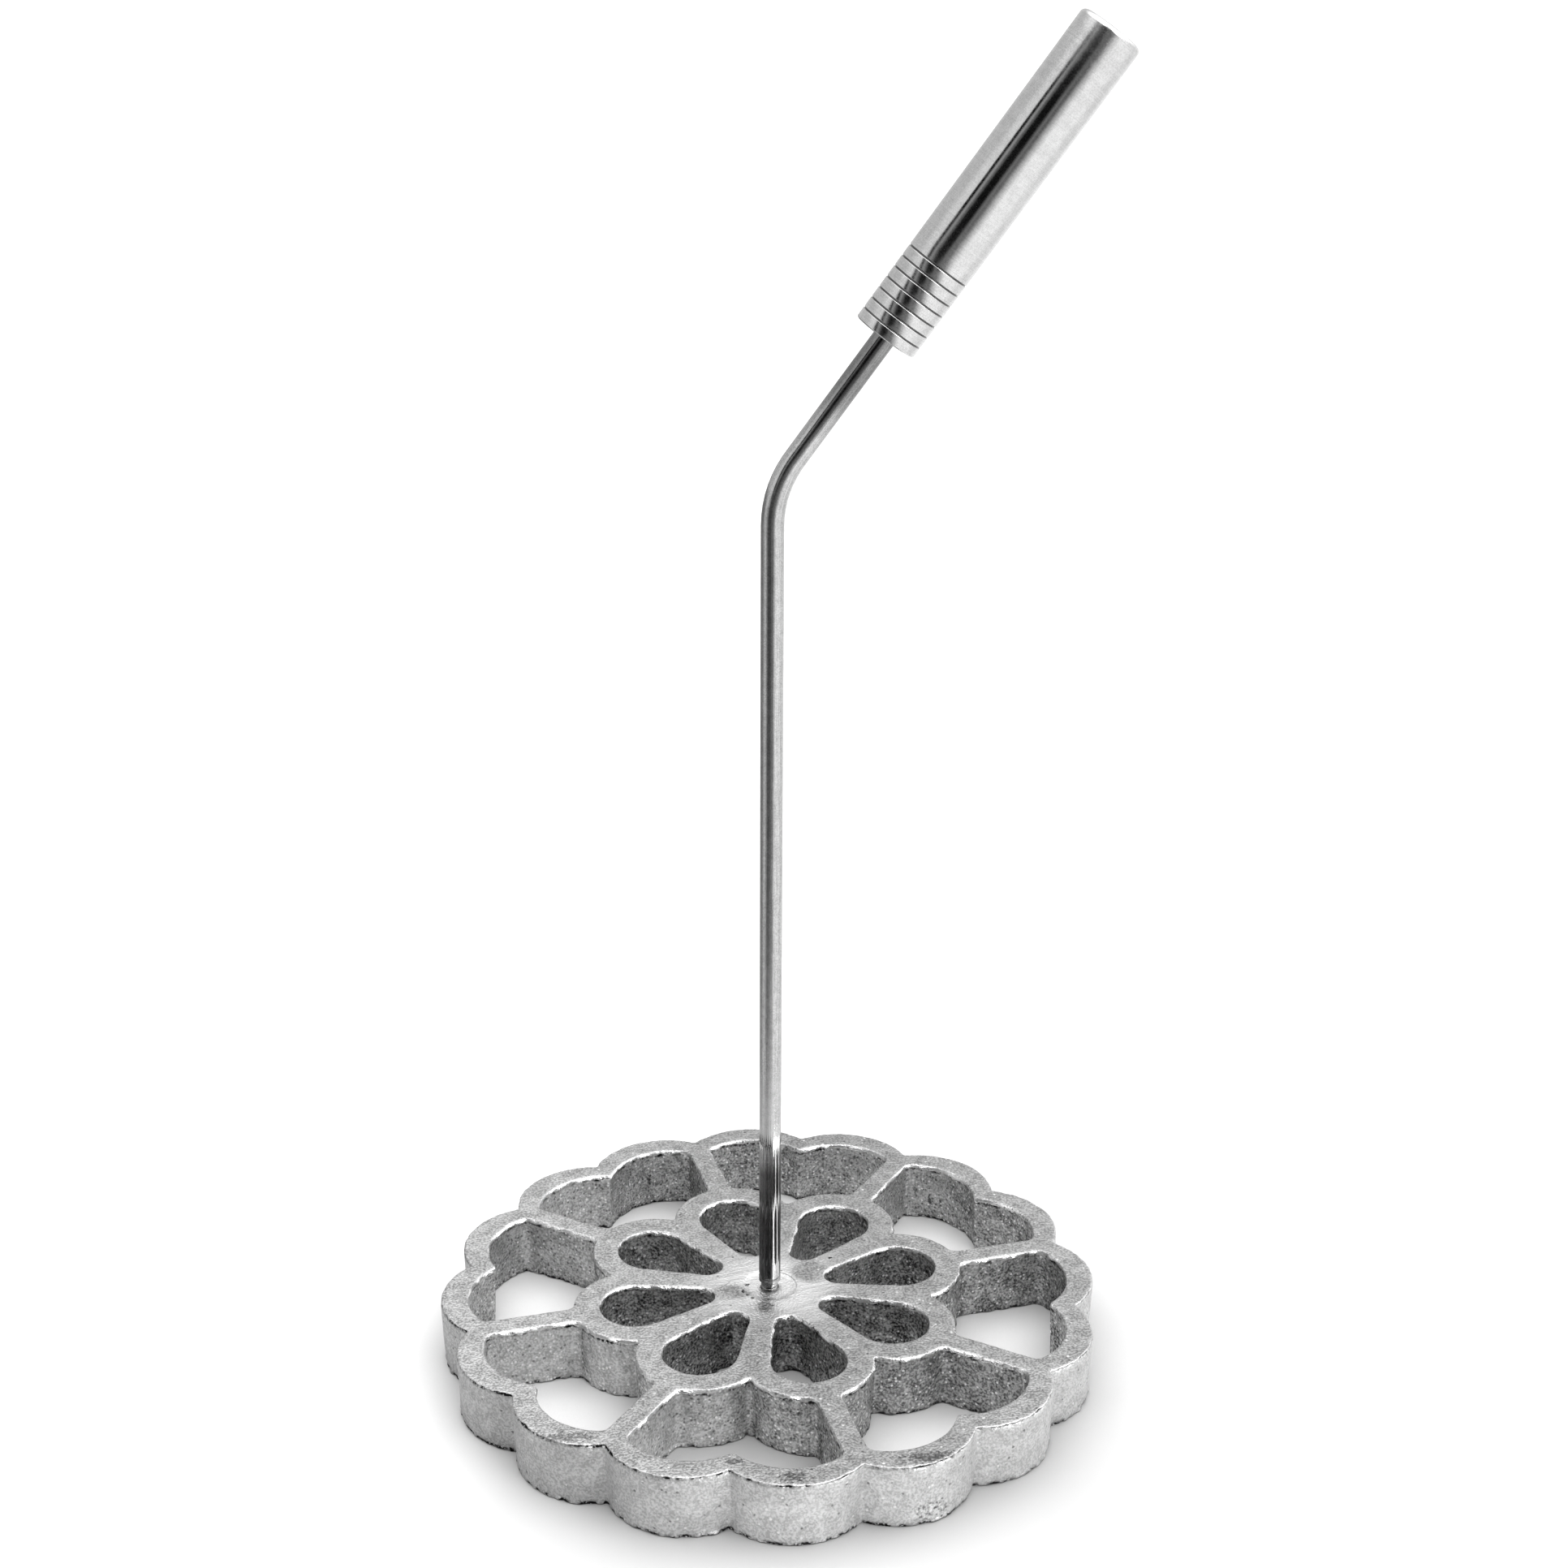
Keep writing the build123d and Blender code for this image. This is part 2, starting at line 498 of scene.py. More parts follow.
    def wall(self, shell: Shell, outline: Outline, soot_and_shade: float, noise: LatticeNoise) -> None:
        """Adds a wall to the shell: the outline moved into the metal row by row.

        A row's inset is its own, plus waviness times a slow field, plus ragged depth times a
        quick field at the edges, less the lip's reach times the positive part of another field.
        The rows of the burrs also hang lower or higher by their sag times a quick field. The grinding
        wheel drove the burrs one way, so a hole has them where the way into the metal is the wheel's,
        and the walls that face that way count as lit. Along the burrs a painted highlight brightens the
        colour, most on the lit walls, and on the rim's outside only towards the right. The darkness of
        the hole walls is sootiness with painted shade: darker below the top edge, less dark on the lit
        walls round the lighter places listed, by a bell curve of the distance, and darker on the walls
        that face away from the light. The nicks and the foot are grimy and carry painted shade, which on
        the rim's outside grows towards the left.

        Args:
            shell: shell that the wall is added to.
            outline: outline of the wall at the top face.
            soot_and_shade: darkness of the wall, sootiness with painted shade, from 0 on the rim's
                outside to 1 in the petals.
            noise: random field in millimetres.
        """
        outside = soot_and_shade == 0.0
        rows = self.wall_rows(outside)
        column = np.array([[r.height, r.inset, r.sag, r.lip, r.ragged, r.burr_and_highlight, r.grime_and_shade] for r in rows])
        height, inset, sag, lip, ragged, burr_and_highlight, grime_and_shade = column.T[:, :, None]
        flat = self.spread(outline.moved(inset))
        level = np.broadcast_to(height, flat.shape[1:3])[None]
        place = np.concatenate((flat, np.broadcast_to(level, flat.shape[:3])[..., None]), axis=-1)
        edge_place = place * (1.0, 1.0, 0.15)
        slow = noise.at(place, 7.0) + 0.5 * noise.at(place, 3.1)
        quick = noise.at(edge_place, 1.3) + 0.6 * noise.at(edge_place + 40.0, 0.7)
        lump = 0.75 * noise.at(edge_place + 80.0, 1.5) + 0.5 * noise.at(edge_place + 60.0, 6.0)
        # walls that face the wheel's way carry the burrs, and they also count as the lit walls for the
        # painted highlight and the painted shade
        pushed_and_lit = smoothstep(self.spread(outline.inward) @ np.array(self.wheel_and_light_way), -0.25, 0.45)
        pushed_and_lit = np.ones_like(pushed_and_lit) if outside else pushed_and_lit
        bump = np.clip(1.3 * lump + 0.5, 0.0, 1.0) * pushed_and_lit[:, None]
        jag = noise.at(edge_place + 120.0, 1.2) + 0.7 * noise.at(edge_place + 140.0, 0.6)
        held = np.ones(len(rows))
        held[[0, -1]] = 0.0
        wave = self.waviness * (slow + (0.8 if outside else 0.0)) * held[:, None]
        nick = self.ragged_depth * ragged * (np.clip(quick, -0.3, 1.2) + (0.2 if outside else 0.0))
        moved = inset + wave + nick - self.lip_reach * lip * bump
        points = np.empty(place.shape)
        for number in range(len(flat)):
            points[number, ..., :2] = self.spread(outline.moved(moved[number]))[number]
        points[..., 2] = level + self.burr_sag * sag * np.clip(jag, -1.0, 1.0)
        # painted shade in the nicks, under the burrs and at the foot, along with grimy metal
        dirt_and_shade = grime_and_shade * np.clip(0.5 + quick, 0.0, 1.5)
        # painted highlight along the burrs, strongest on the walls that face the light
        bright = burr_and_highlight * smoothstep(bump, -0.2, 0.6) * (0.1 + 0.9 * pushed_and_lit[:, None])
        # on the rim's outside the painted shade grows towards the left, and the painted highlight shows
        # only towards the right
        if outside:
            across = place[..., 0] / self.rim_crown_radius
            dirt_and_shade = dirt_and_shade * (1.20 - 0.65 * across)
            bright = bright * np.clip(0.7 * across, 0.0, 1.0)
        # painted shade on the hole walls, with sootiness: darker below the top edge, less dark round the
        # lighter places, darker on the walls that face away from the light
        below = smoothstep(self.depth - place[..., 2], 0.3, 3.0)
        lighter = np.zeros_like(below)
        for x, y, reach, share in self.lighter_petals if soot_and_shade == 1.0 else self.lighter_cells:
            away = np.hypot(place[..., 0] - x, place[..., 1] - y) / reach
            lighter = np.maximum(lighter, share * np.exp(-away * away))
        dark = soot_and_shade * (0.35 + 0.65 * below) * (1.0 - lighter * pushed_and_lit[:, None])
        dark = np.minimum(dark * (1.3 - 0.3 * pushed_and_lit[:, None]), 1.0)
        level_top = np.broadcast_to(0.9 * (level > self.depth - 0.03), bump.shape)
        values = np.stack((bright, dirt_and_shade, level_top, dark * (level_top == 0.0)), axis=-1)
        copies = len(flat)
        faces = grid_faces(*place.shape[1:3])
        shell.add(points.reshape(copies, -1, 3), faces, values.reshape(copies, -1, 4))

    def hub(self, shell: Shell, columns: int) -> np.ndarray:
        """Adds the spot face and the blind hole for the rod, as rings round the axis.

        Args:
            shell: shell that they are added to.
            columns: points along each sixteenth of a ring.

        Returns:
            Points of the outermost sixteenth ring, beside the first spoke's line.
        """
        top, sunk = self.depth, self.depth - self.spot_face_depth
        rings = np.array(
            (
                (self.spot_face_radius + 0.12, top),
                (self.spot_face_radius + 0.03, top - 0.05),
                (self.spot_face_radius, sunk + 0.05),
                (self.spot_face_radius - 0.08, sunk),
                (self.spot_face_radius - 1.6, sunk + 0.01),
                (self.hub_hole_radius + 1.2, sunk),
                (self.hub_hole_radius + 0.2, sunk),
                (self.hub_hole_radius, sunk - 0.2),
                (self.hub_hole_radius, top - self.hub_hole_depth + 0.1),
                (self.hub_hole_radius - 0.1, top - self.hub_hole_depth),
                (0.0, top - self.hub_hole_depth),
            )
        )
        angles = unit(np.linspace(0.0, self.half_step, columns))
        flat = self.spread(rings[:, :1, None] * angles)
        height = np.broadcast_to(rings[None, :, 1:], flat.shape[:3])
        points = np.concatenate((flat, height[..., None]), axis=-1)
        values = np.zeros(points.shape[:3] + (4,))
        values[:, :7, :, 2] = 1.0
        faces = grid_faces(len(rings), columns)
        copies = len(points)
        shell.add(points.reshape(copies, -1, 3), faces, values.reshape(copies, -1, 4))
        return rings[0, 0] * angles

    def face(self, shell: Shell, outlines: list[np.ndarray], height: float, noise: LatticeNoise) -> None:
        """Adds a flat face bounded by the outlines in order.

        Args:
            shell: shell that the face is added to.
            outlines: chains of points that join into one closed outline.
            height: height of the face.
            noise: random field that makes the face very slightly uneven.
        """
        chain = [outlines[0]]
        on_top = height > self.depth / 2
        spacing = self.face_spacing if on_top else self.underside_spacing
        for piece in outlines[1:] + [outlines[0][:1]]:
            gap = piece[0] - chain[-1][-1]
            number = max(1, math.ceil(float(np.linalg.norm(gap)) / spacing))
            share = np.arange(1, number)[:, None] / number
            chain += [chain[-1][-1] + share * gap, piece]
        boundary = np.concatenate(chain)[:-1]
        keep = np.linalg.norm(boundary - np.roll(boundary, 1, axis=0), axis=1) > 1e-6
        points, triangles = fill(boundary[keep], spacing)
        flat = self.spread(points)
        level = np.full(flat.shape[:2] + (1,), height)
        place = np.concatenate((flat, level), axis=-1)
        inner = np.arange(len(points)) >= keep.sum()
        if on_top:
            uneven = 0.03 * noise.at(place, 5.0) + 0.015 * noise.at(place + 20.0, 1.7)
            place[..., 2] += uneven * inner
        values = np.zeros(place.shape[:2] + (4,))
        values[..., 2] = float(on_top) * np.where(inner, 1.0, 0.9)
        shell.add(place, triangles, values)

    def build(self) -> bpy.types.Object:
        """Builds the casting as one closed mesh.

        Returns:
            The casting, with values at its points for the burrs with their painted highlight, the grimy
            nicks and foot with painted shade, the ground top, and the hole walls' sootiness with painted
            shade.
        """
        noise = LatticeNoise(seed=11)
        shell = Shell(("burr_and_highlight", "grime_and_shade", "ground", "soot_and_shade"))
        rim, cell, drop = self.rim_outline(), self.cell_outline(), self.drop_outline()
        self.wall(shell, rim, 0.0, noise)
        self.wall(shell, cell, 0.78, noise)
        self.wall(shell, drop, 1.0, noise)
        ring = self.hub(shell, 7)

        first, last = self.wall_rows(True)[0].inset, self.wall_rows(True)[-1].inset
        top = [rim.moved(first), cell.moved(first), ring[::-1], drop.moved(first)[::-1]]
        self.face(shell, top, self.depth, noise)
        bottom = [rim.moved(last), cell.moved(last), np.zeros((1, 2)), drop.moved(last)[::-1]]
        self.face(shell, bottom, 0.0, noise)
        return shell.finish("rosette_mould_casting")


@dataclass(frozen=True)
class Thread:
    """Stretch of a bar's length that carries a thread."""

    start: float
    end: float
    pitch: float = 0.7
    depth: float = 0.40
    fade: float = 0.5

    def cut(self, along: np.ndarray, around: np.ndarray) -> np.ndarray:
        """Depth of the thread's groove: a triangular wave of place over pitch less the turn,
        eased to nothing at both ends.

        Args:
            along: distance along the bar, in millimetres.
            around: share of a turn.

        Returns:
            Depth below the crest at each point.
        """
        phase = (along / self.pitch - around) % 1.0
        wave = np.clip(1.35 * (1.0 - np.abs(2.0 * phase - 1.0)) - 0.15, 0.0, 1.0)
        ease = smoothstep(along, self.start, self.start + self.fade)
        ease = ease * smoothstep(-along, -self.end, -self.end + self.fade)
        return self.depth * wave * ease


def round_corners(profile: np.ndarray, radius: float) -> np.ndarray:
    """Profile whose corners are replaced by three points each, so that they catch the light.

    Args:
        profile: array (n, 2) of corner points.
        radius: how far the outer two of the three points lie from the corner.

    Returns:
        Array (m, 2) with the end points kept.
    """
    before, here, after = profile[:-2], profile[1:-1], profile[2:]
    back, on = before - here, after - here
    back_length = np.linalg.norm(back, axis=1, keepdims=True)
    on_length = np.linalg.norm(on, axis=1, keepdims=True)
    back = back / back_length * np.minimum(radius, 0.45 * back_length)
    on = on / on_length * np.minimum(radius, 0.45 * on_length)
    middle = here + (back + on) * 0.21
    corners = np.stack((here + back, middle, here + on), axis=1).reshape(-1, 2)
    return np.concatenate((profile[:1], corners, profile[-1:]))


def divide(profile: np.ndarray, longest: float) -> np.ndarray:
    """Profile with its long runs divided evenly, so that no step is longer than longest."""
    pieces = [profile[:1]]
    for start, end in zip(profile[:-1], profile[1:]):
        number = max(1, math.ceil(float(np.linalg.norm(end - start)) / longest))
        pieces.append(start + np.arange(1, number + 1)[:, None] / number * (end - start))
    return np.concatenate(pieces)


def turned_bar(name: str, rings: np.ndarray, marks: np.ndarray, size: float) -> bpy.types.Object:
    """Closed bar from rings of points, with a pole at each end and a map of its surface.

    Args:
        name: name of the piece.
        rings: array (rows, columns, 3) in millimetres; the first and last rows are the poles.
        marks: distance along the profile of each row, in millimetres.
        size: radius that stands for the whole bar in the map.

    Returns:
        The new object. Its map runs along the bar in U and round it in V, in millimetres.
    """
    rows, columns = rings.shape[:2]
    index = 1 + np.arange((rows - 2) * columns).reshape(rows - 2, columns)
    ahead = np.roll(index, -1, axis=1)
    quads = np.stack((index[:-1], ahead[:-1], ahead[1:], index[1:]), axis=-1).reshape(-1, 4)
    last = 1 + (rows - 2) * columns
    first_cap = np.stack((ahead[0], index[0], np.zeros_like(index[0])), axis=-1)
    last_cap = np.stack((index[-1], ahead[-1], np.full_like(index[-1], last)), axis=-1)
    inner = rings[1:-1].reshape(-1, 3)
    points = np.concatenate((rings[:1, 0], inner, rings[-1:, 0])) * MM
    mesh = bpy.data.meshes.new(name)
    mesh.from_pydata(points.tolist(), [], quads.tolist() + first_cap.tolist() + last_cap.tolist())

    column = np.arange(columns)
    step = 2.0 * math.pi * size / columns
    here = np.broadcast_to(column * step, (rows - 3, columns))
    on = here + step
    low = np.broadcast_to(marks[1:-2, None], here.shape)
    high = np.broadcast_to(marks[2:-1, None], here.shape)
    quad_map = np.stack((low, here, low, on, high, on, high, here), axis=-1).reshape(-1)
    along_first = np.full(columns, marks[1])
    along_last = np.full(columns, marks[-2])
    edge, next_edge = column * step, (column + 1) * step
    pole_first, pole_last = np.full(columns, marks[0]), np.full(columns, marks[-1])
    first_map = (along_first, next_edge, along_first, edge, pole_first, edge)
    last_map = (along_last, edge, along_last, next_edge, pole_last, edge)
    corner_map = np.concatenate(
        (
            quad_map,
            np.stack(first_map, axis=-1).reshape(-1),
            np.stack(last_map, axis=-1).reshape(-1),
        )
    )
    surface = mesh.uv_layers.new(name="surface")
    surface.data.foreach_set("uv", corner_map.astype(np.float32))
    work = bmesh.new()
    work.from_mesh(mesh)
    bmesh.ops.recalc_face_normals(work, faces=work.faces)
    work.to_mesh(mesh)
    work.free()
    mesh.polygons.foreach_set("use_smooth", np.ones(len(mesh.polygons), bool))
    piece = bpy.data.objects.new(name, mesh)
    bpy.context.scene.collection.objects.link(piece)
    log.info("%s: %d faces", name, len(mesh.polygons))
    return piece


@dataclass(frozen=True)
class BentRod:
    """Drawn steel rod: upright in the hub, bent once, with a threaded end at each side."""

    diameter: float = 5.0
    thread_diameter: float = 4.0
    foot_height: float = 3.7
    shoulder_height: float = 16.7
    shoulder_chamfer: float = 0.45
    thread_chamfer: float = 0.5
    bend_height: float = 206.7
    bend_radius: float = 24.0
    lean: float = 36.0
    slant_to_mouth: float = 38.8
    socket_depth: float = 7.95
    tip_length: float = 12.05
    columns: int = 72

    def centre_line(self, along: np.ndarray) -> tuple[np.ndarray, np.ndarray]:
        """Place and direction at each distance along the rod: a line up, an arc, a slanted line.

        Args:
            along: distances from the foot.

        Returns:
            Points (n, 3) and unit directions (n, 3).
        """
        lean = math.radians(self.lean)
        straight = self.bend_height - self.bend_radius * math.tan(lean / 2) - self.foot_height
        angle = np.clip((along - straight) / self.bend_radius, 0.0, lean)
        below = np.minimum(along, straight)
        beyond = np.maximum(along - straight - self.bend_radius * lean, 0.0)
        x = self.bend_radius * (1.0 - np.cos(angle)) + beyond * math.sin(lean)
        z = self.foot_height + below + self.bend_radius * np.sin(angle) + beyond * math.cos(lean)
        direction = np.stack((np.sin(angle), np.zeros_like(angle), np.cos(angle)), axis=-1)
        return np.stack((x, np.zeros_like(x), z), axis=-1), direction

    def length_to_mouth(self) -> float:
        """Distance along the rod from its foot to the handle's mouth."""
        lean = math.radians(self.lean)
        cut_off = self.bend_radius * math.tan(lean / 2)
        upright = self.bend_height - cut_off - self.foot_height
        return upright + self.bend_radius * lean + self.slant_to_mouth - cut_off

    def build(self) -> bpy.types.Object:
        """Carries the rod's stepped profile along its centre line.

        Returns:
            The rod as one closed mesh.
        """
        core, full = self.thread_diameter / 2, self.diameter / 2
        shoulder = self.shoulder_height - self.foot_height
        seat = self.length_to_mouth() + self.socket_depth
        end = seat + self.tip_length
        step, chamfer = self.shoulder_chamfer, self.thread_chamfer
        corners = np.array(
            (
                (0.0, 0.0),
                (0.0, core - chamfer),
                (chamfer, core),
                (shoulder, core),
                (shoulder, full - step),
                (shoulder + step, full),
                (seat, full),
                (seat, core),
                (end - chamfer, core),
                (end, core - chamfer),
                (end, 0.0),
            )
        )
        profile = round_corners(corners, 0.07)
        threads = (Thread(0.3, shoulder - 0.35), Thread(seat + 0.8, end - 0.3))
        fine = [divide(profile, 2.0)]
        for thread in threads:
            inside = (fine[0][:, 0] > thread.start) & (fine[0][:, 0] < thread.end)
            rows = np.arange(thread.start, thread.end, thread.pitch / 10)
            kept = fine[0][~inside]
            place = int(np.searchsorted(kept[:, 0], thread.start))
            added = np.stack((rows, np.full_like(rows, core)), axis=-1)
            fine[0] = np.concatenate((kept[:place], added, kept[place:]))
        along, radius = fine[0][:, 0], fine[0][:, 1]
        turn = np.arange(self.columns) / self.columns
        depth = sum(thread.cut(along[:, None], turn[None, :]) for thread in threads)
        reach = np.maximum(radius[:, None] - depth, 0.0)
        reach[[0, -1]] = 0.0
        centre, direction = self.centre_line(along)
        side = np.stack((direction[:, 2], np.zeros(len(along)), -direction[:, 0]), axis=-1)
        angle = 2.0 * math.pi * turn
        ring = side[:, None] * np.cos(angle)[None, :, None]
        ring = ring + np.array((0.0, 1.0, 0.0)) * np.sin(angle)[None, :, None]
        rings = centre[:, None] + reach[..., None] * ring
        steps = np.linalg.norm(np.diff(fine[0], axis=0), axis=1)
        marks = np.concatenate(((0.0,), np.cumsum(steps)))
        return turned_bar("steel_rod", rings, marks, full)


@dataclass(frozen=True)
class TurnedHandle:
    """Bar turned on a lathe, with fine grooves by its mouth and a socket for the rod."""

    diameter: float = 14.3
    length: float = 74.6
    end_radius: float = 1.2
    mouth_chamfer: float = 0.25
    groove_count: int = 7
    first_groove: float = 2.45
    groove_pitch: float = 2.57
    groove_depth: float = 0.22
    groove_half_width: float = 0.22
    socket_radius: float = 2.55
    socket_depth: float = 8.0
    hole_radius: float = 2.05
    hole_end: float = 21.0
    columns: int = 160

    def profile(self) -> np.ndarray:
        """Half section from the blind hole's end, out of the mouth, along the outside and over
        the rounded far edge, as distance along the axis and radius."""
        outer = self.diameter / 2
        inside = [
            (self.hole_end, 0.0),
            (self.hole_end, self.hole_radius),
            (self.socket_depth, self.hole_radius),
            (self.socket_depth, self.socket_radius),
            (0.0, self.socket_radius),
            (0.0, outer - self.mouth_chamfer),
            (self.mouth_chamfer, outer),
        ]
        grooves = []
        for number in range(self.groove_count):
            middle = self.first_groove + number * self.groove_pitch
            grooves += [
                (middle - self.groove_half_width, outer),
                (middle - 0.2 * self.groove_half_width, outer - self.groove_depth),
                (middle + 0.2 * self.groove_half_width, outer - self.groove_depth),
                (middle + self.groove_half_width, outer),
            ]
        sharp = round_corners(np.array(inside + grooves + [(self.length / 2, outer)]), 0.06)
        angle = np.radians(np.linspace(90.0, 0.0, 9))
        rounding = np.stack(
            (
                self.length - self.end_radius * (1.0 - np.cos(angle)),
                outer - self.end_radius * (1.0 - np.sin(angle)),
            ),
            axis=-1,
        )
        end = np.array(((self.length, 0.7 * outer), (self.length, 0.3), (self.length, 0.0)))
        return divide(np.concatenate((sharp, rounding, end)), 2.5)

    def build(self) -> bpy.types.Object:
        """Turns the profile round the handle's axis, which starts where the rod enters.

        Returns:
            The handle as one closed mesh.
        """
        rod = BentRod()
        mouth, direction = rod.centre_line(np.array((rod.length_to_mouth(),)))
        axis = direction[0]
        side = np.array((axis[2], 0.0, -axis[0]))
        profile = self.profile()
        angle = 2.0 * math.pi * np.arange(self.columns) / self.columns
        ring = np.cos(angle)[:, None] * side + np.sin(angle)[:, None] * (0.0, 1.0, 0.0)
        rings = mouth[0] + profile[:, :1, None] * axis + profile[:, 1:, None] * ring
        steps = np.linalg.norm(np.diff(profile, axis=0), axis=1)
        marks = np.concatenate(((0.0,), np.cumsum(steps)))
        return turned_bar("turned_handle", rings, marks, self.diameter / 2)


class Nodes:
    """Adds nodes to a tree and joins their sockets."""

    def __init__(self, tree: bpy.types.NodeTree) -> None:
        """Keeps the tree that the nodes go into."""
        self.tree = tree

    def add(self, kind: str, inputs: dict | None = None, **settings) -> bpy.types.Node:
        """Adds one node.

        Args:
            kind: type of node.
            inputs: a socket to join or a value to set, by the input's name or number.
            settings: attributes of the node itself.

        Returns:
            The new node.
        """
        node = self.tree.nodes.new(kind)
        for name, value in settings.items():
            setattr(node, name, value)
        for key, value in (inputs or {}).items():
            if isinstance(value, bpy.types.NodeSocket):
                self.tree.links.new(value, node.inputs[key])
            else:
                node.inputs[key].default_value = value
        return node

    def math(self, operation: str, *values, clamp: bool = False) -> bpy.types.NodeSocket:
        """Result of one arithmetic step on sockets or numbers."""
        inputs = dict(enumerate(values))
        node = self.add("ShaderNodeMath", inputs, operation=operation, use_clamp=clamp)
        return node.outputs[0]

    def ease(self, value, low: float, high: float, start=0.0, end=1.0) -> bpy.types.NodeSocket:
        """Eased change from start to end as the value goes from low to high."""
        inputs = {"Value": value, "From Min": low, "From Max": high, "To Min": start, "To Max": end}
        node = self.add("ShaderNodeMapRange", inputs, interpolation_type="SMOOTHSTEP")
        return node.outputs["Result"]

    def mix(self, share, first, second) -> bpy.types.NodeSocket:
        """Colour between two colours."""
        node = self.add("ShaderNodeMix", data_type="RGBA")
        for socket, value in ((0, share), (6, first), (7, second)):
            if isinstance(value, bpy.types.NodeSocket):
                self.tree.links.new(value, node.inputs[socket])
            else:
                node.inputs[socket].default_value = value
        return node.outputs[2]

    def noise(self, vector, scale: float, detail: float = 2.0, rough: float = 0.5):
        """Value of a noise texture."""
        inputs = {"Vector": vector, "Scale": scale, "Detail": detail, "Roughness": rough}
        return self.add("ShaderNodeTexNoise", inputs).outputs["Fac"]


def grey(value: float) -> tuple[float, float, float, float]:
    """Opaque neutral colour."""
    return (value, value, value, 1.0)


def new_group(name: str, inputs: dict[str, str], outputs: dict[str, str]) -> bpy.types.NodeTree:
    """Shader node group with named sockets and its own input and output nodes.

    Args:
        name: name of the group.
        inputs: socket type of each input, by name.
        outputs: socket type of each output, by name.

    Returns:
        The group's tree.
    """
    tree = bpy.data.node_groups.new(name, "ShaderNodeTree")
    for label, kind in inputs.items():
        tree.interface.new_socket(label, in_out="INPUT", socket_type=kind)
    for label, kind in outputs.items():
        tree.interface.new_socket(label, in_out="OUTPUT", socket_type=kind)
    tree.nodes.new("NodeGroupInput")
    tree.nodes.new("NodeGroupOutput")
    return tree


class Effects:
    """Shader effects that more than one finish uses, each a group that is built once."""

    def __init__(self) -> None:
        """Builds the groups."""
        self.grain = self.build_grain()
        self.lines = self.build_lines()

    def build_grain(self) -> bpy.types.NodeTree:
        """Grain of a metal surface: fine speckle over a mid-size mottle.

        Returns:
            Group with Vector, Scale and Mottle in, and Value and Height out.
        """
        inputs = {
            "Vector": "NodeSocketVector",
            "Scale": "NodeSocketFloat",
            "Mottle": "NodeSocketFloat",
        }
        outputs = {"Value": "NodeSocketFloat", "Height": "NodeSocketFloat"}
        tree = new_group("metal_grain", inputs, outputs)
        nodes = Nodes(tree)
        source, result = tree.nodes[0].outputs, tree.nodes[1].inputs
        fine = nodes.noise(source["Vector"], 1.0, 2.0, 0.55)
        fine_node = fine.node
        tree.links.new(source["Scale"], fine_node.inputs["Scale"])
        coarse_scale = nodes.math("MULTIPLY", source["Scale"], 0.17)
        coarse = nodes.noise(source["Vector"], 1.0, 3.0, 0.6)
        tree.links.new(coarse_scale, coarse.node.inputs["Scale"])
        speckle = nodes.ease(fine, 0.39, 0.61)
        mottle = nodes.ease(coarse, 0.36, 0.64)
        value = nodes.add("ShaderNodeMix", {0: source["Mottle"], 2: speckle, 3: mottle})
        height = nodes.math("ADD", fine, nodes.math("MULTIPLY", coarse, source["Mottle"]))
        tree.links.new(value.outputs[0], result["Value"])
        tree.links.new(height, result["Height"])
        return tree

    def build_lines(self) -> bpy.types.NodeTree:
        """Fine lines that run along a surface, left by a die, a tool or a grinding wheel.

        Returns:
            Group with Along, Across, Length and Width in, and Value and Height out. Lines
            run where Along changes, and vary with Across.
        """
        names = ("Along", "Across", "Length", "Width")
        outputs = {"Value": "NodeSocketFloat", "Height": "NodeSocketFloat"}
        tree = new_group("tool_lines", dict.fromkeys(names, "NodeSocketFloat"), outputs)
        nodes = Nodes(tree)
        source, result = tree.nodes[0].outputs, tree.nodes[1].inputs
        run = nodes.math("DIVIDE", source["Along"], source["Length"])
        across = nodes.math("DIVIDE", source["Across"], source["Width"])
        vector = nodes.add("ShaderNodeCombineXYZ", {"X": run, "Y": across}).outputs[0]
        lines = nodes.noise(vector, 1.0, 4.0, 0.7)
        tree.links.new(nodes.ease(lines, 0.3, 0.7), result["Value"])
        tree.links.new(lines, result["Height"])
        return tree

    def place(self, nodes: Nodes, group: bpy.types.NodeTree, inputs: dict) -> bpy.types.Node:
        """Puts a group into a material.

        Args:
            nodes: the material's nodes.
            group: the group to use.
            inputs: sockets or values by input name.

        Returns:
            The group node.
        """
        node = nodes.add("ShaderNodeGroup", node_tree=group)
        for label, value in inputs.items():
            if isinstance(value, bpy.types.NodeSocket):
                nodes.tree.links.new(value, node.inputs[label])
            else:
                node.inputs[label].default_value = value
        return node


def new_material(name: str) -> tuple[bpy.types.Material, Nodes, bpy.types.Node]:
    """Material with an empty tree but for a Principled shader and its output.

    Args:
        name: name of the material.

    Returns:
        The material, its nodes and the shader.
    """
    material = bpy.data.materials.new(name)
    material.use_nodes = True
    material.node_tree.nodes.clear()
    nodes = Nodes(material.node_tree)
    shader = nodes.add("ShaderNodeBsdfPrincipled")
    nodes.add("ShaderNodeOutputMaterial", {"Surface": shader.outputs[0]})
    return material, nodes, shader


@dataclass(frozen=True)
class Mark:
    """Spot on the casting, as an ellipsoid round a place, in millimetres."""

    place: tuple[float, float, float]
    reach: tuple[float, float, float]
    strength: float = 1.0


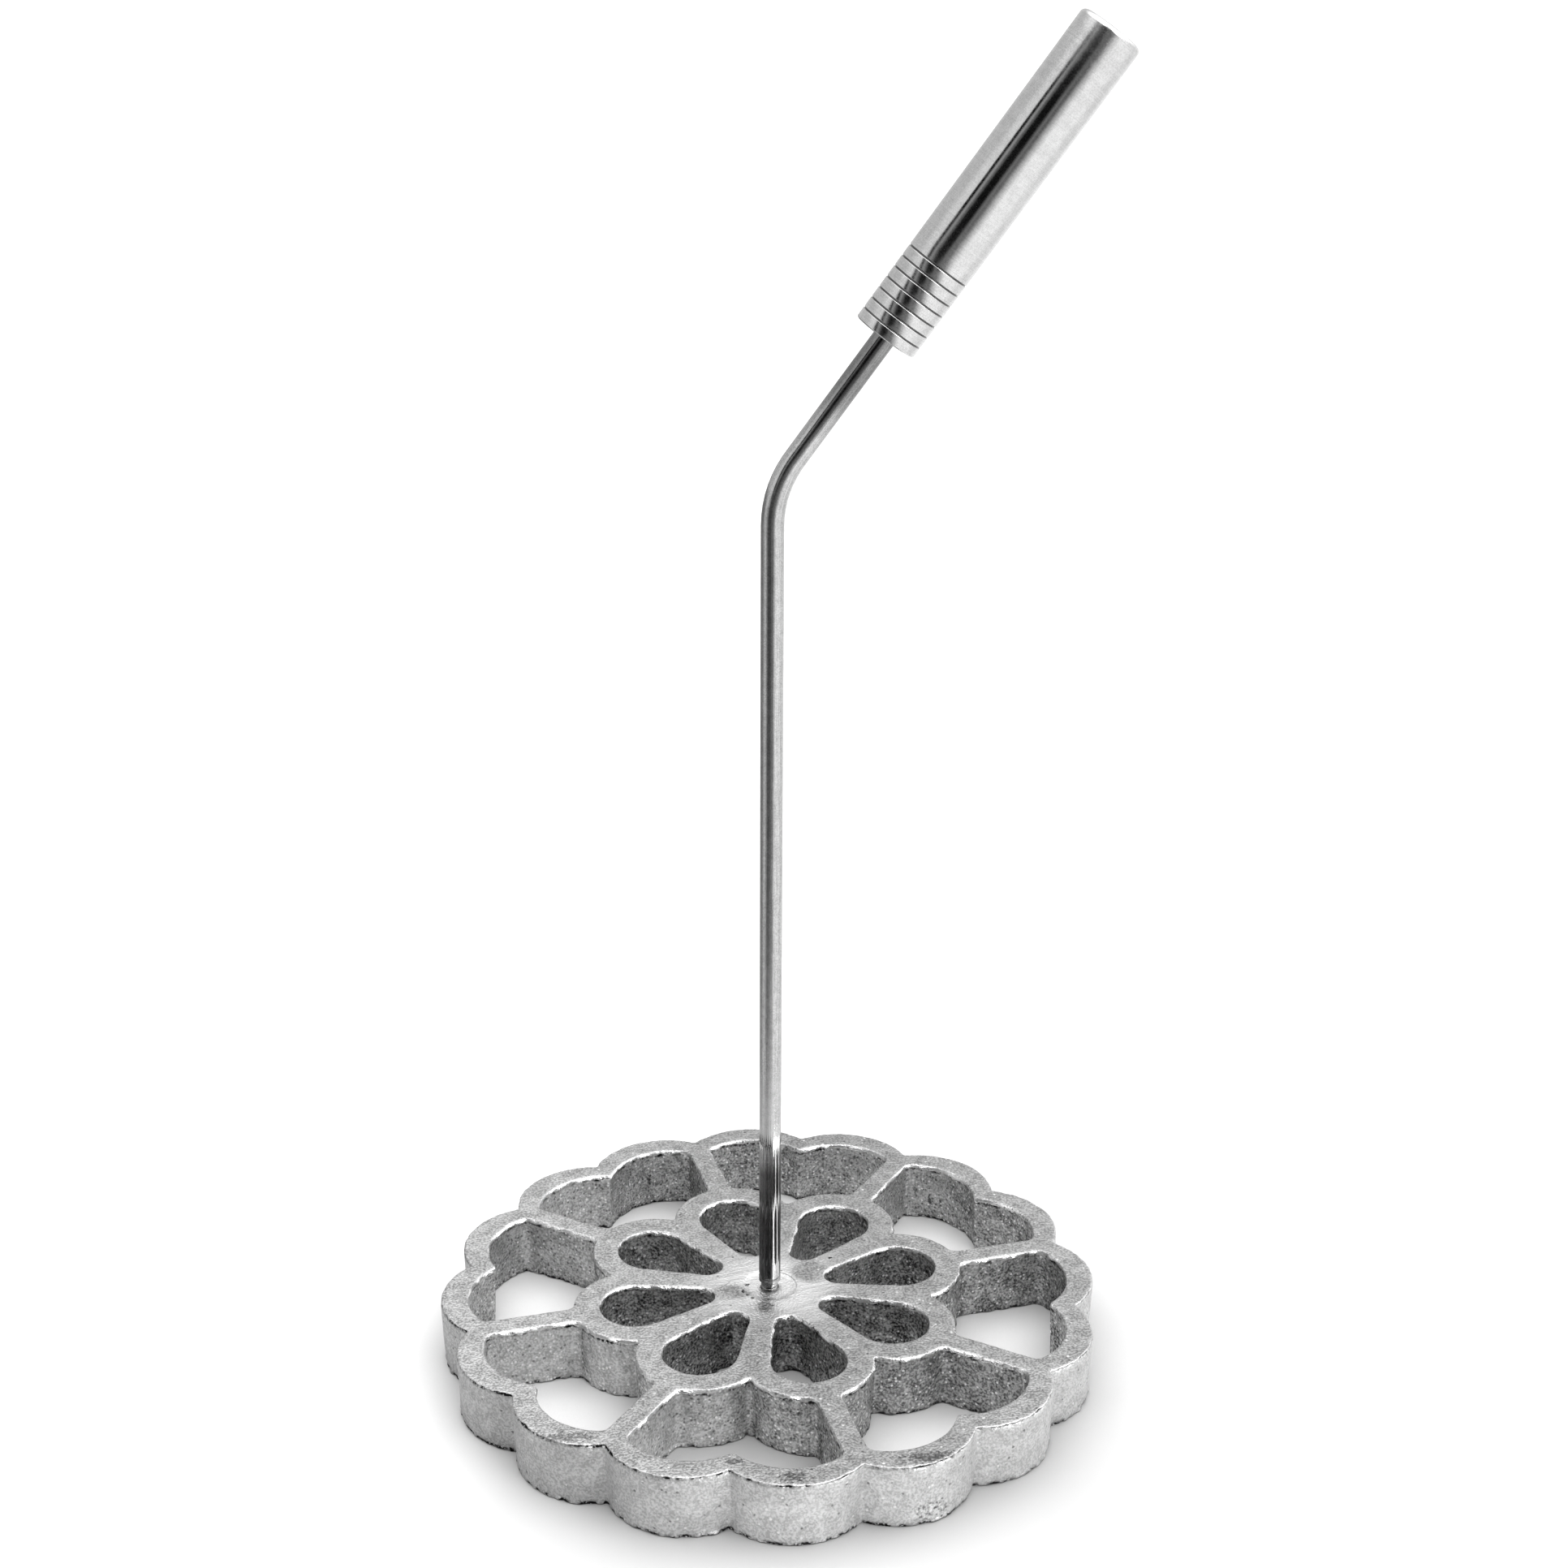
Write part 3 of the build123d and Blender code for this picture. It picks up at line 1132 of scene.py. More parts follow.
@dataclass(frozen=True)
class CastAluminium:
    """Sand-cast aluminium: matt grain all over, a ground top face, burrs with a painted highlight, nicks
    and a foot that are grimy and carry painted shade, openings darkened by sootiness and painted shade,
    and the marks that this casting has, among them painted glints, a painted sheen on the hub and a
    painted reflection of the top in the rod and the handle."""

    effects: Effects
    cast: tuple[float, float] = (0.55, 0.87)
    ground: tuple[float, float] = (0.38, 1.0)
    # tones of the hole walls: sootiness with painted shade
    soot_and_shade_tones: tuple[float, float] = (0.0, 0.63)
    grain_per_metre: float = 1750.0
    specks_per_metre: float = 1250.0
    roughness: float = 0.50
    ground_roughness: float = 0.34
    relief: float = 0.00022
    # reach of the painted sheen round the hub, in millimetres
    hub_shine: float = 24.0
    # painted reflection: how dark the ground top looks where the rod and the handle mirror it, and its
    # painted bright streak by angle from the front
    mirrored_tone: float = 0.28
    mirrored_streak: tuple[float, float, float] = (26.0, 112.0, 3.0)
    mirrored_roughness: float = 0.10
    pits: tuple[Mark, ...] = (
        Mark((15.4, 11.1, 15.5), (0.75, 0.45, 0.6)),
        Mark((-5.4, 0.9, 15.3), (0.6, 0.5, 0.6)),
        Mark((-6.3, -2.4, 15.4), (0.55, 0.7, 0.5)),
        Mark((-5.5, -3.9, 15.4), (0.6, 0.5, 0.5)),
        Mark((-4.4, -5.2, 15.4), (0.7, 0.45, 0.5)),
        Mark((-8.6, -1.8, 15.5), (3.4, 3.0, 1.0), 0.4),
        Mark((-1.5, -9.0, 15.5), (1.6, 2.6, 1.0), 0.55),
        Mark((-0.1, -73.6, 15.4), (3.0, 2.0, 0.8), 0.75),
        Mark((-11.9, -67.6, 15.4), (1.8, 1.1, 0.8), 0.7),
        Mark((29.8, -68.7, 15.4), (7.0, 2.2, 0.8), 0.65),
        Mark((-48.0, -57.0, 15.4), (8.0, 1.8, 0.8), 0.5),
        Mark((-59.0, -40.0, 0.4), (1.9, 1.5, 0.9)),
        Mark((-27.0, 65.3, 7.2), (0.6, 1.0, 2.6), 0.8),
        Mark((45.0, 53.8, 5.2), (0.5, 1.0, 2.4), 0.8),
        Mark((47.5, 52.3, 5.3), (0.5, 1.0, 1.2), 0.8),
        Mark((41.4, 54.8, 8.3), (0.4, 1.0, 1.4), 0.7),
    )
    # places where the hub's painted sheen is missing
    dull: tuple[Mark, ...] = (
        Mark((10.0, 5.5, 15.5), (5.6, 6.0, 2.0)),
        Mark((-9.5, -2.6, 15.5), (6.5, 3.6, 2.0), 0.8),
        Mark((-1.5, -9.5, 15.5), (2.6, 3.4, 2.0), 0.8),
    )
    # places with painted glints: white flakes in the colour
    glints: tuple[Mark, ...] = (
        Mark((29.0, -69.8, 3.4), (6.0, 3.0, 3.4)),
        Mark((-64.0, 18.0, 11.5), (7.0, 9.0, 4.5)),
        Mark((-58.0, -20.0, 10.5), (9.0, 6.0, 5.0), 0.8),
        Mark((-12.0, 14.0, 12.0), (16.0, 14.0, 3.0), 0.6),
        Mark((6.0, -26.0, 12.0), (6.0, 6.0, 4.0), 0.8),
    )

    def spots(self, nodes: Nodes, place, wobble, marks: tuple[Mark, ...]) -> bpy.types.NodeSocket:
        """Mask of the marks: 1 inside each ellipsoid, with an edge that the wobble breaks up.

        Args:
            nodes: the material's nodes.
            place: place on the casting, in metres.
            wobble: noise that is added to the distance from each mark's middle.
            marks: the marks.

        Returns:
            Strength of the strongest mark at each place.
        """
        total = 0.0
        for mark in marks:
            away = nodes.add(
                "ShaderNodeVectorMath",
                {0: place, 1: tuple(value * MM for value in mark.place)},
                operation="SUBTRACT",
            )
            scaled = nodes.add(
                "ShaderNodeVectorMath",
                {0: away.outputs[0], 1: tuple(1.0 / (value * MM) for value in mark.reach)},
                operation="MULTIPLY",
            )
            length = nodes.add("ShaderNodeVectorMath", {0: scaled.outputs[0]}, operation="LENGTH")
            distance = nodes.math("ADD", length.outputs["Value"], wobble)
            near = nodes.ease(distance, 0.55, 1.05, mark.strength, 0.0)
            total = near if isinstance(total, float) else nodes.math("MAXIMUM", total, near)
        return total

    def sparkle(self, nodes: Nodes, place, soot_and_shade, colour) -> bpy.types.NodeSocket:
        """Bright specks that paint sparkle and dark specks of the sand, one in the middle of some cells
        of a random net.

        Args:
            nodes: the material's nodes.
            place: place on the casting, in metres.
            soot_and_shade: darkness of the walls, sootiness with painted shade; the walls have the most
                specks.
            colour: colour under the specks.

        Returns:
            The colour with the specks.
        """
        cells = nodes.add(
            "ShaderNodeTexVoronoi", {"Vector": place, "Scale": self.specks_per_metre}
        ).outputs
        chance = nodes.add("ShaderNodeSeparateColor", {0: cells["Color"]}).outputs[0]
        middle = nodes.ease(cells["Distance"], 0.30, 0.50, 1.0, 0.0)
        share = nodes.ease(soot_and_shade, 0.005, 0.05, 0.02, 0.14)
        light = nodes.math("GREATER_THAN", chance, nodes.math("SUBTRACT", 1.0, share))
        dark = nodes.math("LESS_THAN", chance, nodes.ease(soot_and_shade, 0.10, 0.40, 0.015, 0.26))
        colour = nodes.mix(nodes.math("MULTIPLY", middle, light), colour, grey(1.0))
        dark = nodes.math("MULTIPLY", nodes.math("MULTIPLY", middle, dark), 0.6)
        return nodes.mix(dark, colour, grey(0.03))

    def build(self) -> bpy.types.Material:
        """Builds the finish.

        Returns:
            The material.
        """
        material, nodes, shader = new_material("cast_aluminium")
        place = nodes.add("ShaderNodeTexCoord").outputs["Object"]
        names = ("burr_and_highlight", "grime_and_shade", "ground", "soot_and_shade")
        burr_and_highlight, grime_and_shade, ground, soot_and_shade = (
            nodes.add("ShaderNodeAttribute", attribute_name=name).outputs["Fac"] for name in names
        )
        grain = self.effects.place(
            nodes,
            self.effects.grain,
            {"Vector": place, "Scale": self.grain_per_metre, "Mottle": 0.36},
        )
        value = grain.outputs["Value"]
        cast = nodes.mix(value, *map(grey, self.cast))
        parts = nodes.add("ShaderNodeSeparateXYZ", {0: place}).outputs
        milled = nodes.mix(value, *map(grey, self.ground))
        # the ground top darkens from the left edge to just right of the middle, then lightens a little
        # again towards the right edge
        ground_tone_across = nodes.ease(parts["X"], -0.080, 0.020, 1.0, 0.66)
        ground_tone_across = nodes.math("MULTIPLY", ground_tone_across, nodes.ease(parts["X"], 0.025, 0.060, 1.0, 1.14))
        milled = nodes.add(
            "ShaderNodeVectorMath", {0: milled, "Scale": ground_tone_across}, operation="SCALE"
        ).outputs[0]
        # hole walls darkened by painted shade as well as sootiness
        soot_and_shade_tones = nodes.mix(value, *map(grey, self.soot_and_shade_tones))
        colour = nodes.mix(soot_and_shade, nodes.mix(ground, cast, milled), soot_and_shade_tones)

        # streaks that the grinding wheel left over the hub, in a painted sheen round the hub that the
        # dull places break up
        flat = nodes.add("ShaderNodeCombineXYZ", {"X": parts["X"], "Y": parts["Y"]}).outputs[0]
        out = nodes.add("ShaderNodeVectorMath", {0: flat}, operation="LENGTH").outputs["Value"]
        turned = nodes.add(
            "ShaderNodeVectorRotate",
            {"Vector": flat, "Angle": math.radians(-17.0)},
            rotation_type="Z_AXIS",
        )
        line = nodes.add("ShaderNodeSeparateXYZ", {0: turned.outputs[0]}).outputs
        streaks = self.effects.place(
            nodes,
            self.effects.lines,
            {"Along": line["X"], "Across": line["Y"], "Length": 0.018, "Width": 0.0009},
        )
        cloud = nodes.noise(place, 110.0, 2.0)
        middle = nodes.math("MULTIPLY_ADD", cloud, 0.016, out)
        shine = nodes.ease(middle, 0.011, self.hub_shine * MM + 0.008, 1.0, 0.0)
        shine = nodes.math("MULTIPLY", shine, ground)
        dull = self.spots(nodes, place, 0.0, self.dull)
        shine = nodes.math("MULTIPLY", shine, nodes.math("SUBTRACT", 1.0, dull))
        lit = nodes.math("MULTIPLY_ADD", streaks.outputs["Value"], 0.75, 0.66)
        colour = nodes.mix(nodes.math("MULTIPLY", shine, lit, clamp=True), colour, grey(0.99))

        # painted highlight along the burrs, which are also polished there
        bright = nodes.math("MULTIPLY", burr_and_highlight, 1.15, clamp=True)
        colour = nodes.mix(bright, colour, grey(0.98))
        # painted glints: white flakes in the glint places
        fleck = nodes.noise(place, 1300.0, 1.0)
        wobble = nodes.math("MULTIPLY_ADD", fleck, 2.6, -1.3)
        glint = self.spots(nodes, place, 0.0, self.glints)
        glint_flake = nodes.math("MULTIPLY", glint, nodes.ease(fleck, 0.56, 0.62))
        colour = nodes.mix(glint_flake, colour, grey(1.0))
        # near black: painted shade and grimy metal in the nicks and at the foot, dark pits, and dark
        # specks among the glinting flakes
        speck = nodes.ease(nodes.noise(place, 1500.0, 2.0), 0.37, 0.52)
        dirt_and_shade_mask = nodes.math("MULTIPLY", grime_and_shade, speck, clamp=True)
        flaky = nodes.math("MULTIPLY", glint, nodes.ease(fleck, 0.36, 0.44, 0.6, 0.0))
        pitted = self.spots(nodes, place, wobble, self.pits)
        pitted = nodes.math("MULTIPLY", pitted, nodes.math("MULTIPLY_ADD", speck, 0.6, 0.4))
        pitted = nodes.math("MAXIMUM", pitted, flaky)
        colour = nodes.mix(nodes.math("MAXIMUM", dirt_and_shade_mask, pitted, clamp=True), colour, grey(0.012))
        colour = self.sparkle(nodes, place, soot_and_shade, colour)

        # painted reflection: the ground top is darker and glassier where the rod and the handle mirror
        # it, with a painted bright streak over the angles where it mirrors the window
        mirrored = nodes.add("ShaderNodeLightPath").outputs["Is Glossy Ray"]
        mirrored = nodes.math("MULTIPLY", mirrored, ground)
        back = nodes.math("MULTIPLY", parts["Y"], -1.0)
        turn = nodes.math("ARCTAN2", parts["X"], back)
        start, end, level = self.mirrored_streak
        rise = nodes.ease(turn, math.radians(start - 4.0), math.radians(start))
        fall = nodes.ease(turn, math.radians(end), math.radians(end + 4.0), 1.0, 0.0)
        lit = nodes.math("MULTIPLY", rise, fall)
        tone = nodes.math("MULTIPLY_ADD", lit, level - self.mirrored_tone, self.mirrored_tone)
        dim = nodes.add("ShaderNodeMix", {0: mirrored, 2: 1.0, 3: tone}).outputs[0]
        colour = nodes.add(
            "ShaderNodeVectorMath", {0: colour, "Scale": dim}, operation="SCALE"
        ).outputs[0]
        nodes.tree.links.new(colour, shader.inputs["Base Color"])
        shader.inputs["Metallic"].default_value = 1.0
        rough = nodes.math("MULTIPLY_ADD", value, -0.10, self.roughness + 0.05)
        rough = nodes.math(
            "MULTIPLY_ADD", ground, self.ground_roughness - self.roughness, rough
        )
        polish = nodes.math("MAXIMUM", bright, glint_flake)
        rough = nodes.math("SUBTRACT", rough, nodes.math("MULTIPLY", polish, 0.22), clamp=True)
        glassy = nodes.add(
            "ShaderNodeMix", {0: mirrored, 2: rough, 3: self.mirrored_roughness}
        )
        nodes.tree.links.new(glassy.outputs[0], shader.inputs["Roughness"])
        bump = nodes.add(
            "ShaderNodeBump",
            {"Strength": 1.0, "Distance": self.relief, "Height": grain.outputs["Height"]},
        )
        nodes.tree.links.new(bump.outputs[0], shader.inputs["Normal"])
        return material


@dataclass(frozen=True)
class DrawnSteel:
    """Bright drawn steel: fine lines along the bar and a soft polish."""

    effects: Effects
    metal: float = 0.68
    # painted darkening: the dark reflections at the rod's foot, and the handle's reflection and shade
    # near the mouth
    mouth_shade_tone: float = 0.48
    foot_shade_tone: float = 0.40
    foot_shade_to: float = 46.0
    mouth_shade_reach: float = 26.0
    roughness: float = 0.075
    polished_to: float = 50.0
    relief: float = 0.0000006

    def build(self) -> bpy.types.Material:
        """Builds the finish.

        Returns:
            The material.
        """
        material, nodes, shader = new_material("bright_steel")
        surface = nodes.add("ShaderNodeUVMap", uv_map="surface").outputs[0]
        parts = nodes.add("ShaderNodeSeparateXYZ", {0: surface}).outputs
        place = nodes.add("ShaderNodeTexCoord").outputs["Object"]
        lines = self.effects.place(
            nodes,
            self.effects.lines,
            {"Along": parts["X"], "Across": parts["Y"], "Length": 14.0, "Width": 0.25},
        )
        grain = self.effects.place(
            nodes, self.effects.grain, {"Vector": place, "Scale": 3200.0, "Mottle": 0.4}
        )
        tone = nodes.math("MULTIPLY_ADD", lines.outputs["Value"], 0.5, 0.0)
        tone = nodes.math("MULTIPLY_ADD", grain.outputs["Value"], 0.5, tone)
        colour = nodes.mix(tone, grey(self.metal - 0.22), grey(self.metal + 0.20))
        # painted dark reflection near the foot, and the handle's painted reflection and shade before the
        # mouth
        foot = self.foot_shade_to
        mouth = BentRod().length_to_mouth()
        low = nodes.ease(parts["X"], foot - 2.0, foot + 2.0, self.foot_shade_tone, 1.0)
        near = nodes.ease(parts["X"], mouth - self.mouth_shade_reach, mouth - 9.0, 1.0, self.mouth_shade_tone)
        colour = nodes.add(
            "ShaderNodeVectorMath",
            {0: colour, "Scale": nodes.math("MULTIPLY", low, near)},
            operation="SCALE",
        ).outputs[0]
        nodes.tree.links.new(colour, shader.inputs["Base Color"])
        shader.inputs["Metallic"].default_value = 1.0
        dull = nodes.ease(parts["X"], self.polished_to, self.polished_to + 25.0, 0.0, 0.085)
        rough = nodes.math("MULTIPLY_ADD", grain.outputs["Value"], 0.08, self.roughness - 0.04)
        rough = nodes.math("ADD", rough, dull)
        nodes.tree.links.new(rough, shader.inputs["Roughness"])
        height = nodes.math("ADD", lines.outputs["Height"], grain.outputs["Height"])
        bump = nodes.add(
            "ShaderNodeBump", {"Strength": 1.0, "Distance": self.relief, "Height": height}
        )
        nodes.tree.links.new(bump.outputs[0], shader.inputs["Normal"])
        return material


@dataclass(frozen=True)
class TurnedAluminium:
    """Turned and polished aluminium: faint rings from the tool, sharp reflections."""

    effects: Effects
    handle: TurnedHandle
    metal: float = 0.84
    roughness: float = 0.11
    relief: float = 0.000003
    groove_shade: float = 0.80

    def groove(self, nodes: Nodes, place) -> tuple[bpy.types.NodeSocket, bpy.types.NodeSocket]:
        """Mask of the grooves, from how far along the handle a place lies.

        Args:
            nodes: the material's nodes.
            place: place on the handle, in metres.

        Returns:
            The mask, and the distance from the mouth.
        """
        bar, rod = self.handle, BentRod()
        mouth, direction = rod.centre_line(np.array((rod.length_to_mouth(),)))
        start = float(mouth[0] @ direction[0])
        dot = nodes.add(
            "ShaderNodeVectorMath", {0: place, 1: tuple(direction[0])}, operation="DOT_PRODUCT"
        )
        along = nodes.math("SUBTRACT", dot.outputs["Value"], start * MM)
        pitch = bar.groove_pitch * MM
        count = nodes.math("DIVIDE", nodes.math("SUBTRACT", along, bar.first_groove * MM), pitch)
        nearest = nodes.math("ROUND", count)
        nearest = nodes.math("MAXIMUM", nearest, 0.0)
        nearest = nodes.math("MINIMUM", nearest, bar.groove_count - 1.0)
        off = nodes.math("ABSOLUTE", nodes.math("SUBTRACT", count, nearest))
        half = bar.groove_half_width / bar.groove_pitch
        return nodes.ease(off, 0.5 * half, 1.15 * half, 1.0, 0.0), along

    def build(self) -> bpy.types.Material:
        """Builds the finish.

        Returns:
            The material.
        """
        material, nodes, shader = new_material("turned_aluminium")
        surface = nodes.add("ShaderNodeUVMap", uv_map="surface").outputs[0]
        parts = nodes.add("ShaderNodeSeparateXYZ", {0: surface}).outputs
        place = nodes.add("ShaderNodeTexCoord").outputs["Object"]
        rings = self.effects.place(
            nodes,
            self.effects.lines,
            {"Along": parts["Y"], "Across": parts["X"], "Length": 60.0, "Width": 0.16},
        )
        grain = self.effects.place(
            nodes, self.effects.grain, {"Vector": place, "Scale": 3000.0, "Mottle": 0.4}
        )
        tone = nodes.math("MULTIPLY_ADD", rings.outputs["Value"], 0.4, 0.0)
        tone = nodes.math("MULTIPLY_ADD", grain.outputs["Value"], 0.6, tone)
        colour = nodes.mix(tone, grey(self.metal - 0.17), grey(self.metal + 0.13))
        groove, along = self.groove(nodes, place)
        colour = nodes.mix(nodes.math("MULTIPLY", groove, self.groove_shade), colour, grey(0.04))
        nodes.tree.links.new(colour, shader.inputs["Base Color"])
        shader.inputs["Metallic"].default_value = 1.0
        rough = nodes.math("MULTIPLY_ADD", grain.outputs["Value"], 0.06, self.roughness - 0.03)
        length = self.handle.length * MM
        rough = nodes.math("ADD", rough, nodes.ease(along, length - 0.022, length, 0.0, 0.13))
        rough = nodes.math("ADD", rough, nodes.ease(along, 0.018, 0.034, 0.06, 0.0))
        nodes.tree.links.new(rough, shader.inputs["Roughness"])
        bump = nodes.add(
            "ShaderNodeBump",
            {"Strength": 1.0, "Distance": self.relief, "Height": rings.outputs["Height"]},
        )
        nodes.tree.links.new(bump.outputs[0], shader.inputs["Normal"])
        return material


@dataclass(frozen=True)
class Panel:
    """Stretch of the surroundings that the metal reflects."""

    name: str
    start: float
    end: float
    level: float


@dataclass(frozen=True)
class Studio:
    """White floor, soft surroundings for the metal to reflect, and the camera."""

    camera_place: tuple[float, float, float] = (-34.25, -497.38, 327.17)
    camera_turn: float = -4.249
    camera_tilt: float = 69.548
    camera_roll: float = 0.334
    lens: float = 56.24
    sensor: float = 36.0
    floor_reach: float = 12.0
    floor_light: float = 1.45
    floor_in_metal: float = 0.86
    pool_radius: float = 0.092
    pool_fall: float = 2.0
    shade_reach: float = 0.030
    shadow: float = 0.68
    shadow_start: float = 0.0705
    shadow_end: float = 0.135

    # what stands round the object, by angle from the front in degrees, positive to the right
    low_panels: tuple[Panel, ...] = (
        Panel("back floor in daylight", -180, -176, 1.00),
        Panel("floor behind in shade", -160, -108, 0.20),
        Panel("foot of the left wall", -86, -74, 0.54),
        Panel("dark table edge", -47, -24, 0.055),
        Panel("front of the table", -6, 3, 0.16),
        Panel("window light on the right", 27, 72, 0.97),
        Panel("right wall", 98, 122, 0.80),
        Panel("back floor in daylight", 144, 180, 1.00),
    )
    high_panels: tuple[Panel, ...] = (
        Panel("back wall", -180, -172, 0.62),
        Panel("left wall", -148, -100, 0.53),
        Panel("near end of the left wall", -76, -58, 0.71),
        Panel("frame", -56, -48, 0.0),
        Panel("gap beside the frame", -45, -41, 0.30),
        Panel("cupboard", -36, -33, 0.10),
        Panel("dark doorway", -30, -13, 0.005),
        Panel("edge of the doorway", -6, -4, 0.17),
        Panel("photographer", 0, 7, 0.07),
        Panel("window", 40, 140, 0.95),
        Panel("back wall", 172, 180, 0.62),
    )
    overhead: float = 1.55
    glare: tuple[Panel, ...] = (
        Panel("glare of the near pane", 26, 60, 6.5),
        Panel("glare of the far pane", 63, 115, 3.2),
    )

    def band(self, nodes: Nodes, turn, start: float, end: float) -> bpy.types.NodeSocket:
        """Mask that is 1 between two angles from the front, with soft edges."""
        share = [angle / 360.0 + 0.5 for angle in (start - 1.5, start, end, end + 1.5)]
        rise = nodes.ease(turn, share[0], share[1])
        return nodes.math("MULTIPLY", rise, nodes.ease(turn, share[2], share[3], 1.0, 0.0))

    def belt(self, nodes: Nodes, turn: bpy.types.NodeSocket, panels: tuple) -> bpy.types.NodeSocket:
        """Brightness round the horizon: each panel even, and the next one blended into it.

        Args:
            nodes: nodes of the world.
            turn: share of a turn, from 0 at -180 degrees to 1 at 180.
            panels: the panels in order of angle.

        Returns:
            The brightness.
        """
        ramp = nodes.add("ShaderNodeValToRGB", {"Fac": turn})
        elements = ramp.color_ramp.elements
        elements.remove(elements[1])
        ends = [(angle, panel.level) for panel in panels for angle in (panel.start, panel.end)]
        for number, (angle, level) in enumerate(ends):
            place = (angle + 180.0) / 360.0
            element = elements[0] if number == 0 else elements.new(place)
            element.position = place
            element.color = grey(level)
        return ramp.outputs["Color"]

    def build_surroundings(self) -> None:
        """Builds the world: two belts of brightness and a bright ceiling, plain white behind
        everything that the camera sees directly. The window glares only where one piece
        mirrors it in another."""
        world = bpy.data.worlds.new("studio")
        world.use_nodes = True
        world.node_tree.nodes.clear()
        bpy.context.scene.world = world
        nodes = Nodes(world.node_tree)
        way = nodes.add("ShaderNodeTexCoord").outputs["Generated"]
        parts = nodes.add("ShaderNodeSeparateXYZ", {0: way}).outputs
        back = nodes.math("MULTIPLY", parts["Y"], -1.0)
        turn = nodes.math("ARCTAN2", parts["X"], back)
        turn = nodes.math("MULTIPLY_ADD", turn, 0.5 / math.pi, 0.5)
        height = nodes.math("ARCSINE", parts["Z"])
        low = self.belt(nodes, turn, self.low_panels)
        high = self.belt(nodes, turn, self.high_panels)
        rise = nodes.ease(height, math.radians(-4.0), math.radians(7.0))
        sides = nodes.mix(rise, low, high)
        top = nodes.ease(height, math.radians(38.0), math.radians(58.0))
        around = nodes.mix(top, sides, grey(self.overhead))
        paths = nodes.add("ShaderNodeLightPath").outputs
        tall = nodes.ease(height, math.radians(14.0), math.radians(19.0))
        low_enough = nodes.ease(height, math.radians(37.0), math.radians(41.0), 1.0, 0.0)
        tall = nodes.math("MULTIPLY", tall, low_enough)
        tall = nodes.math("MULTIPLY", tall, nodes.math("SUBTRACT", 1.0, paths["Is Diffuse Ray"]))
        twice = nodes.math("GREATER_THAN", paths["Ray Depth"], 1.5)
        twice = nodes.math("MULTIPLY", twice, tall)
        for pane in self.glare:
            share = nodes.math("MULTIPLY", self.band(nodes, turn, pane.start, pane.end), twice)
            around = nodes.mix(share, around, grey(pane.level))
        colour = nodes.mix(paths["Is Camera Ray"], around, grey(1.0))
        strength = nodes.math(
            "MULTIPLY_ADD", paths["Is Diffuse Ray"], self.floor_light - 1.0, 1.0
        )
        shade = nodes.add("ShaderNodeBackground", {"Color": colour, "Strength": strength})
        nodes.add("ShaderNodeOutputWorld", {"Surface": shade.outputs[0]})

    def build_floor(self) -> bpy.types.Object:
        """Builds the floor: white, with soft shade where the object stands over it. In the
        metal's reflections it fades out as a power of the distance from the object.

        Returns:
            The floor.
        """
        reach = self.floor_reach
        mesh = bpy.data.meshes.new("floor")
        corners = [(-reach, -reach, 0), (reach, -reach, 0), (reach, reach, 0), (-reach, reach, 0)]
        mesh.from_pydata(corners, [], [(0, 1, 2, 3)])
        material = bpy.data.materials.new("white_floor")
        material.use_nodes = True
        material.node_tree.nodes.clear()
        nodes = Nodes(material.node_tree)
        place = nodes.add("ShaderNodeTexCoord").outputs["Object"]
        distance = nodes.add("ShaderNodeVectorMath", {0: place}, operation="LENGTH").outputs["Value"]
        nearness = nodes.math("DIVIDE", self.pool_radius, distance)
        seen = nodes.math("POWER", nearness, self.pool_fall, clamp=True)
        glossy = nodes.add("ShaderNodeLightPath").outputs["Is Glossy Ray"]
        # painted shade: the floor darkens where little of the sky reaches it
        open_sky = nodes.add(
            "ShaderNodeAmbientOcclusion", {"Distance": self.shade_reach}, samples=8
        ).outputs["AO"]
        tone = nodes.ease(open_sky, 0.15, 0.95, 0.50, 0.90)
        parts = nodes.add("ShaderNodeSeparateXYZ", {0: place}).outputs
        # painted shade in the cells inside the rim: lighter to the left and to the back, darker round a
        # spot in the front cell
        cells = nodes.ease(parts["X"], -0.070, -0.020, 1.14, 1.0)
        cells = nodes.math("MULTIPLY", cells, nodes.ease(parts["Y"], -0.020, 0.055, 1.0, 1.11))
        apart = nodes.add(
            "ShaderNodeVectorMath", {0: place, 1: (-0.010, -0.058, 0.0)}, operation="DISTANCE"
        ).outputs["Value"]
        cells = nodes.math("MULTIPLY", cells, nodes.ease(apart, 0.010, 0.042, 0.70, 1.0))
        # painted shadow round the base beyond the rim, darkest in front and darker to the right, fading
        # out outwards
        front = nodes.math("DIVIDE", parts["Y"], distance)
        shadow = nodes.ease(front, -1.0, -0.35, self.shadow, 0.94)
        side = nodes.math("DIVIDE", parts["X"], distance)
        shadow = nodes.math("MULTIPLY", shadow, nodes.ease(side, 0.3, 0.9, 1.0, 0.76))
        ring = nodes.ease(distance, self.shadow_start, self.shadow_end)
        ring = nodes.add("ShaderNodeMix", {0: ring, 2: shadow, 3: 1.0}).outputs[0]
        beside = nodes.ease(distance, self.shadow_start, self.shadow_start + 0.001)
        ring = nodes.add("ShaderNodeMix", {0: beside, 2: cells, 3: ring}).outputs[0]
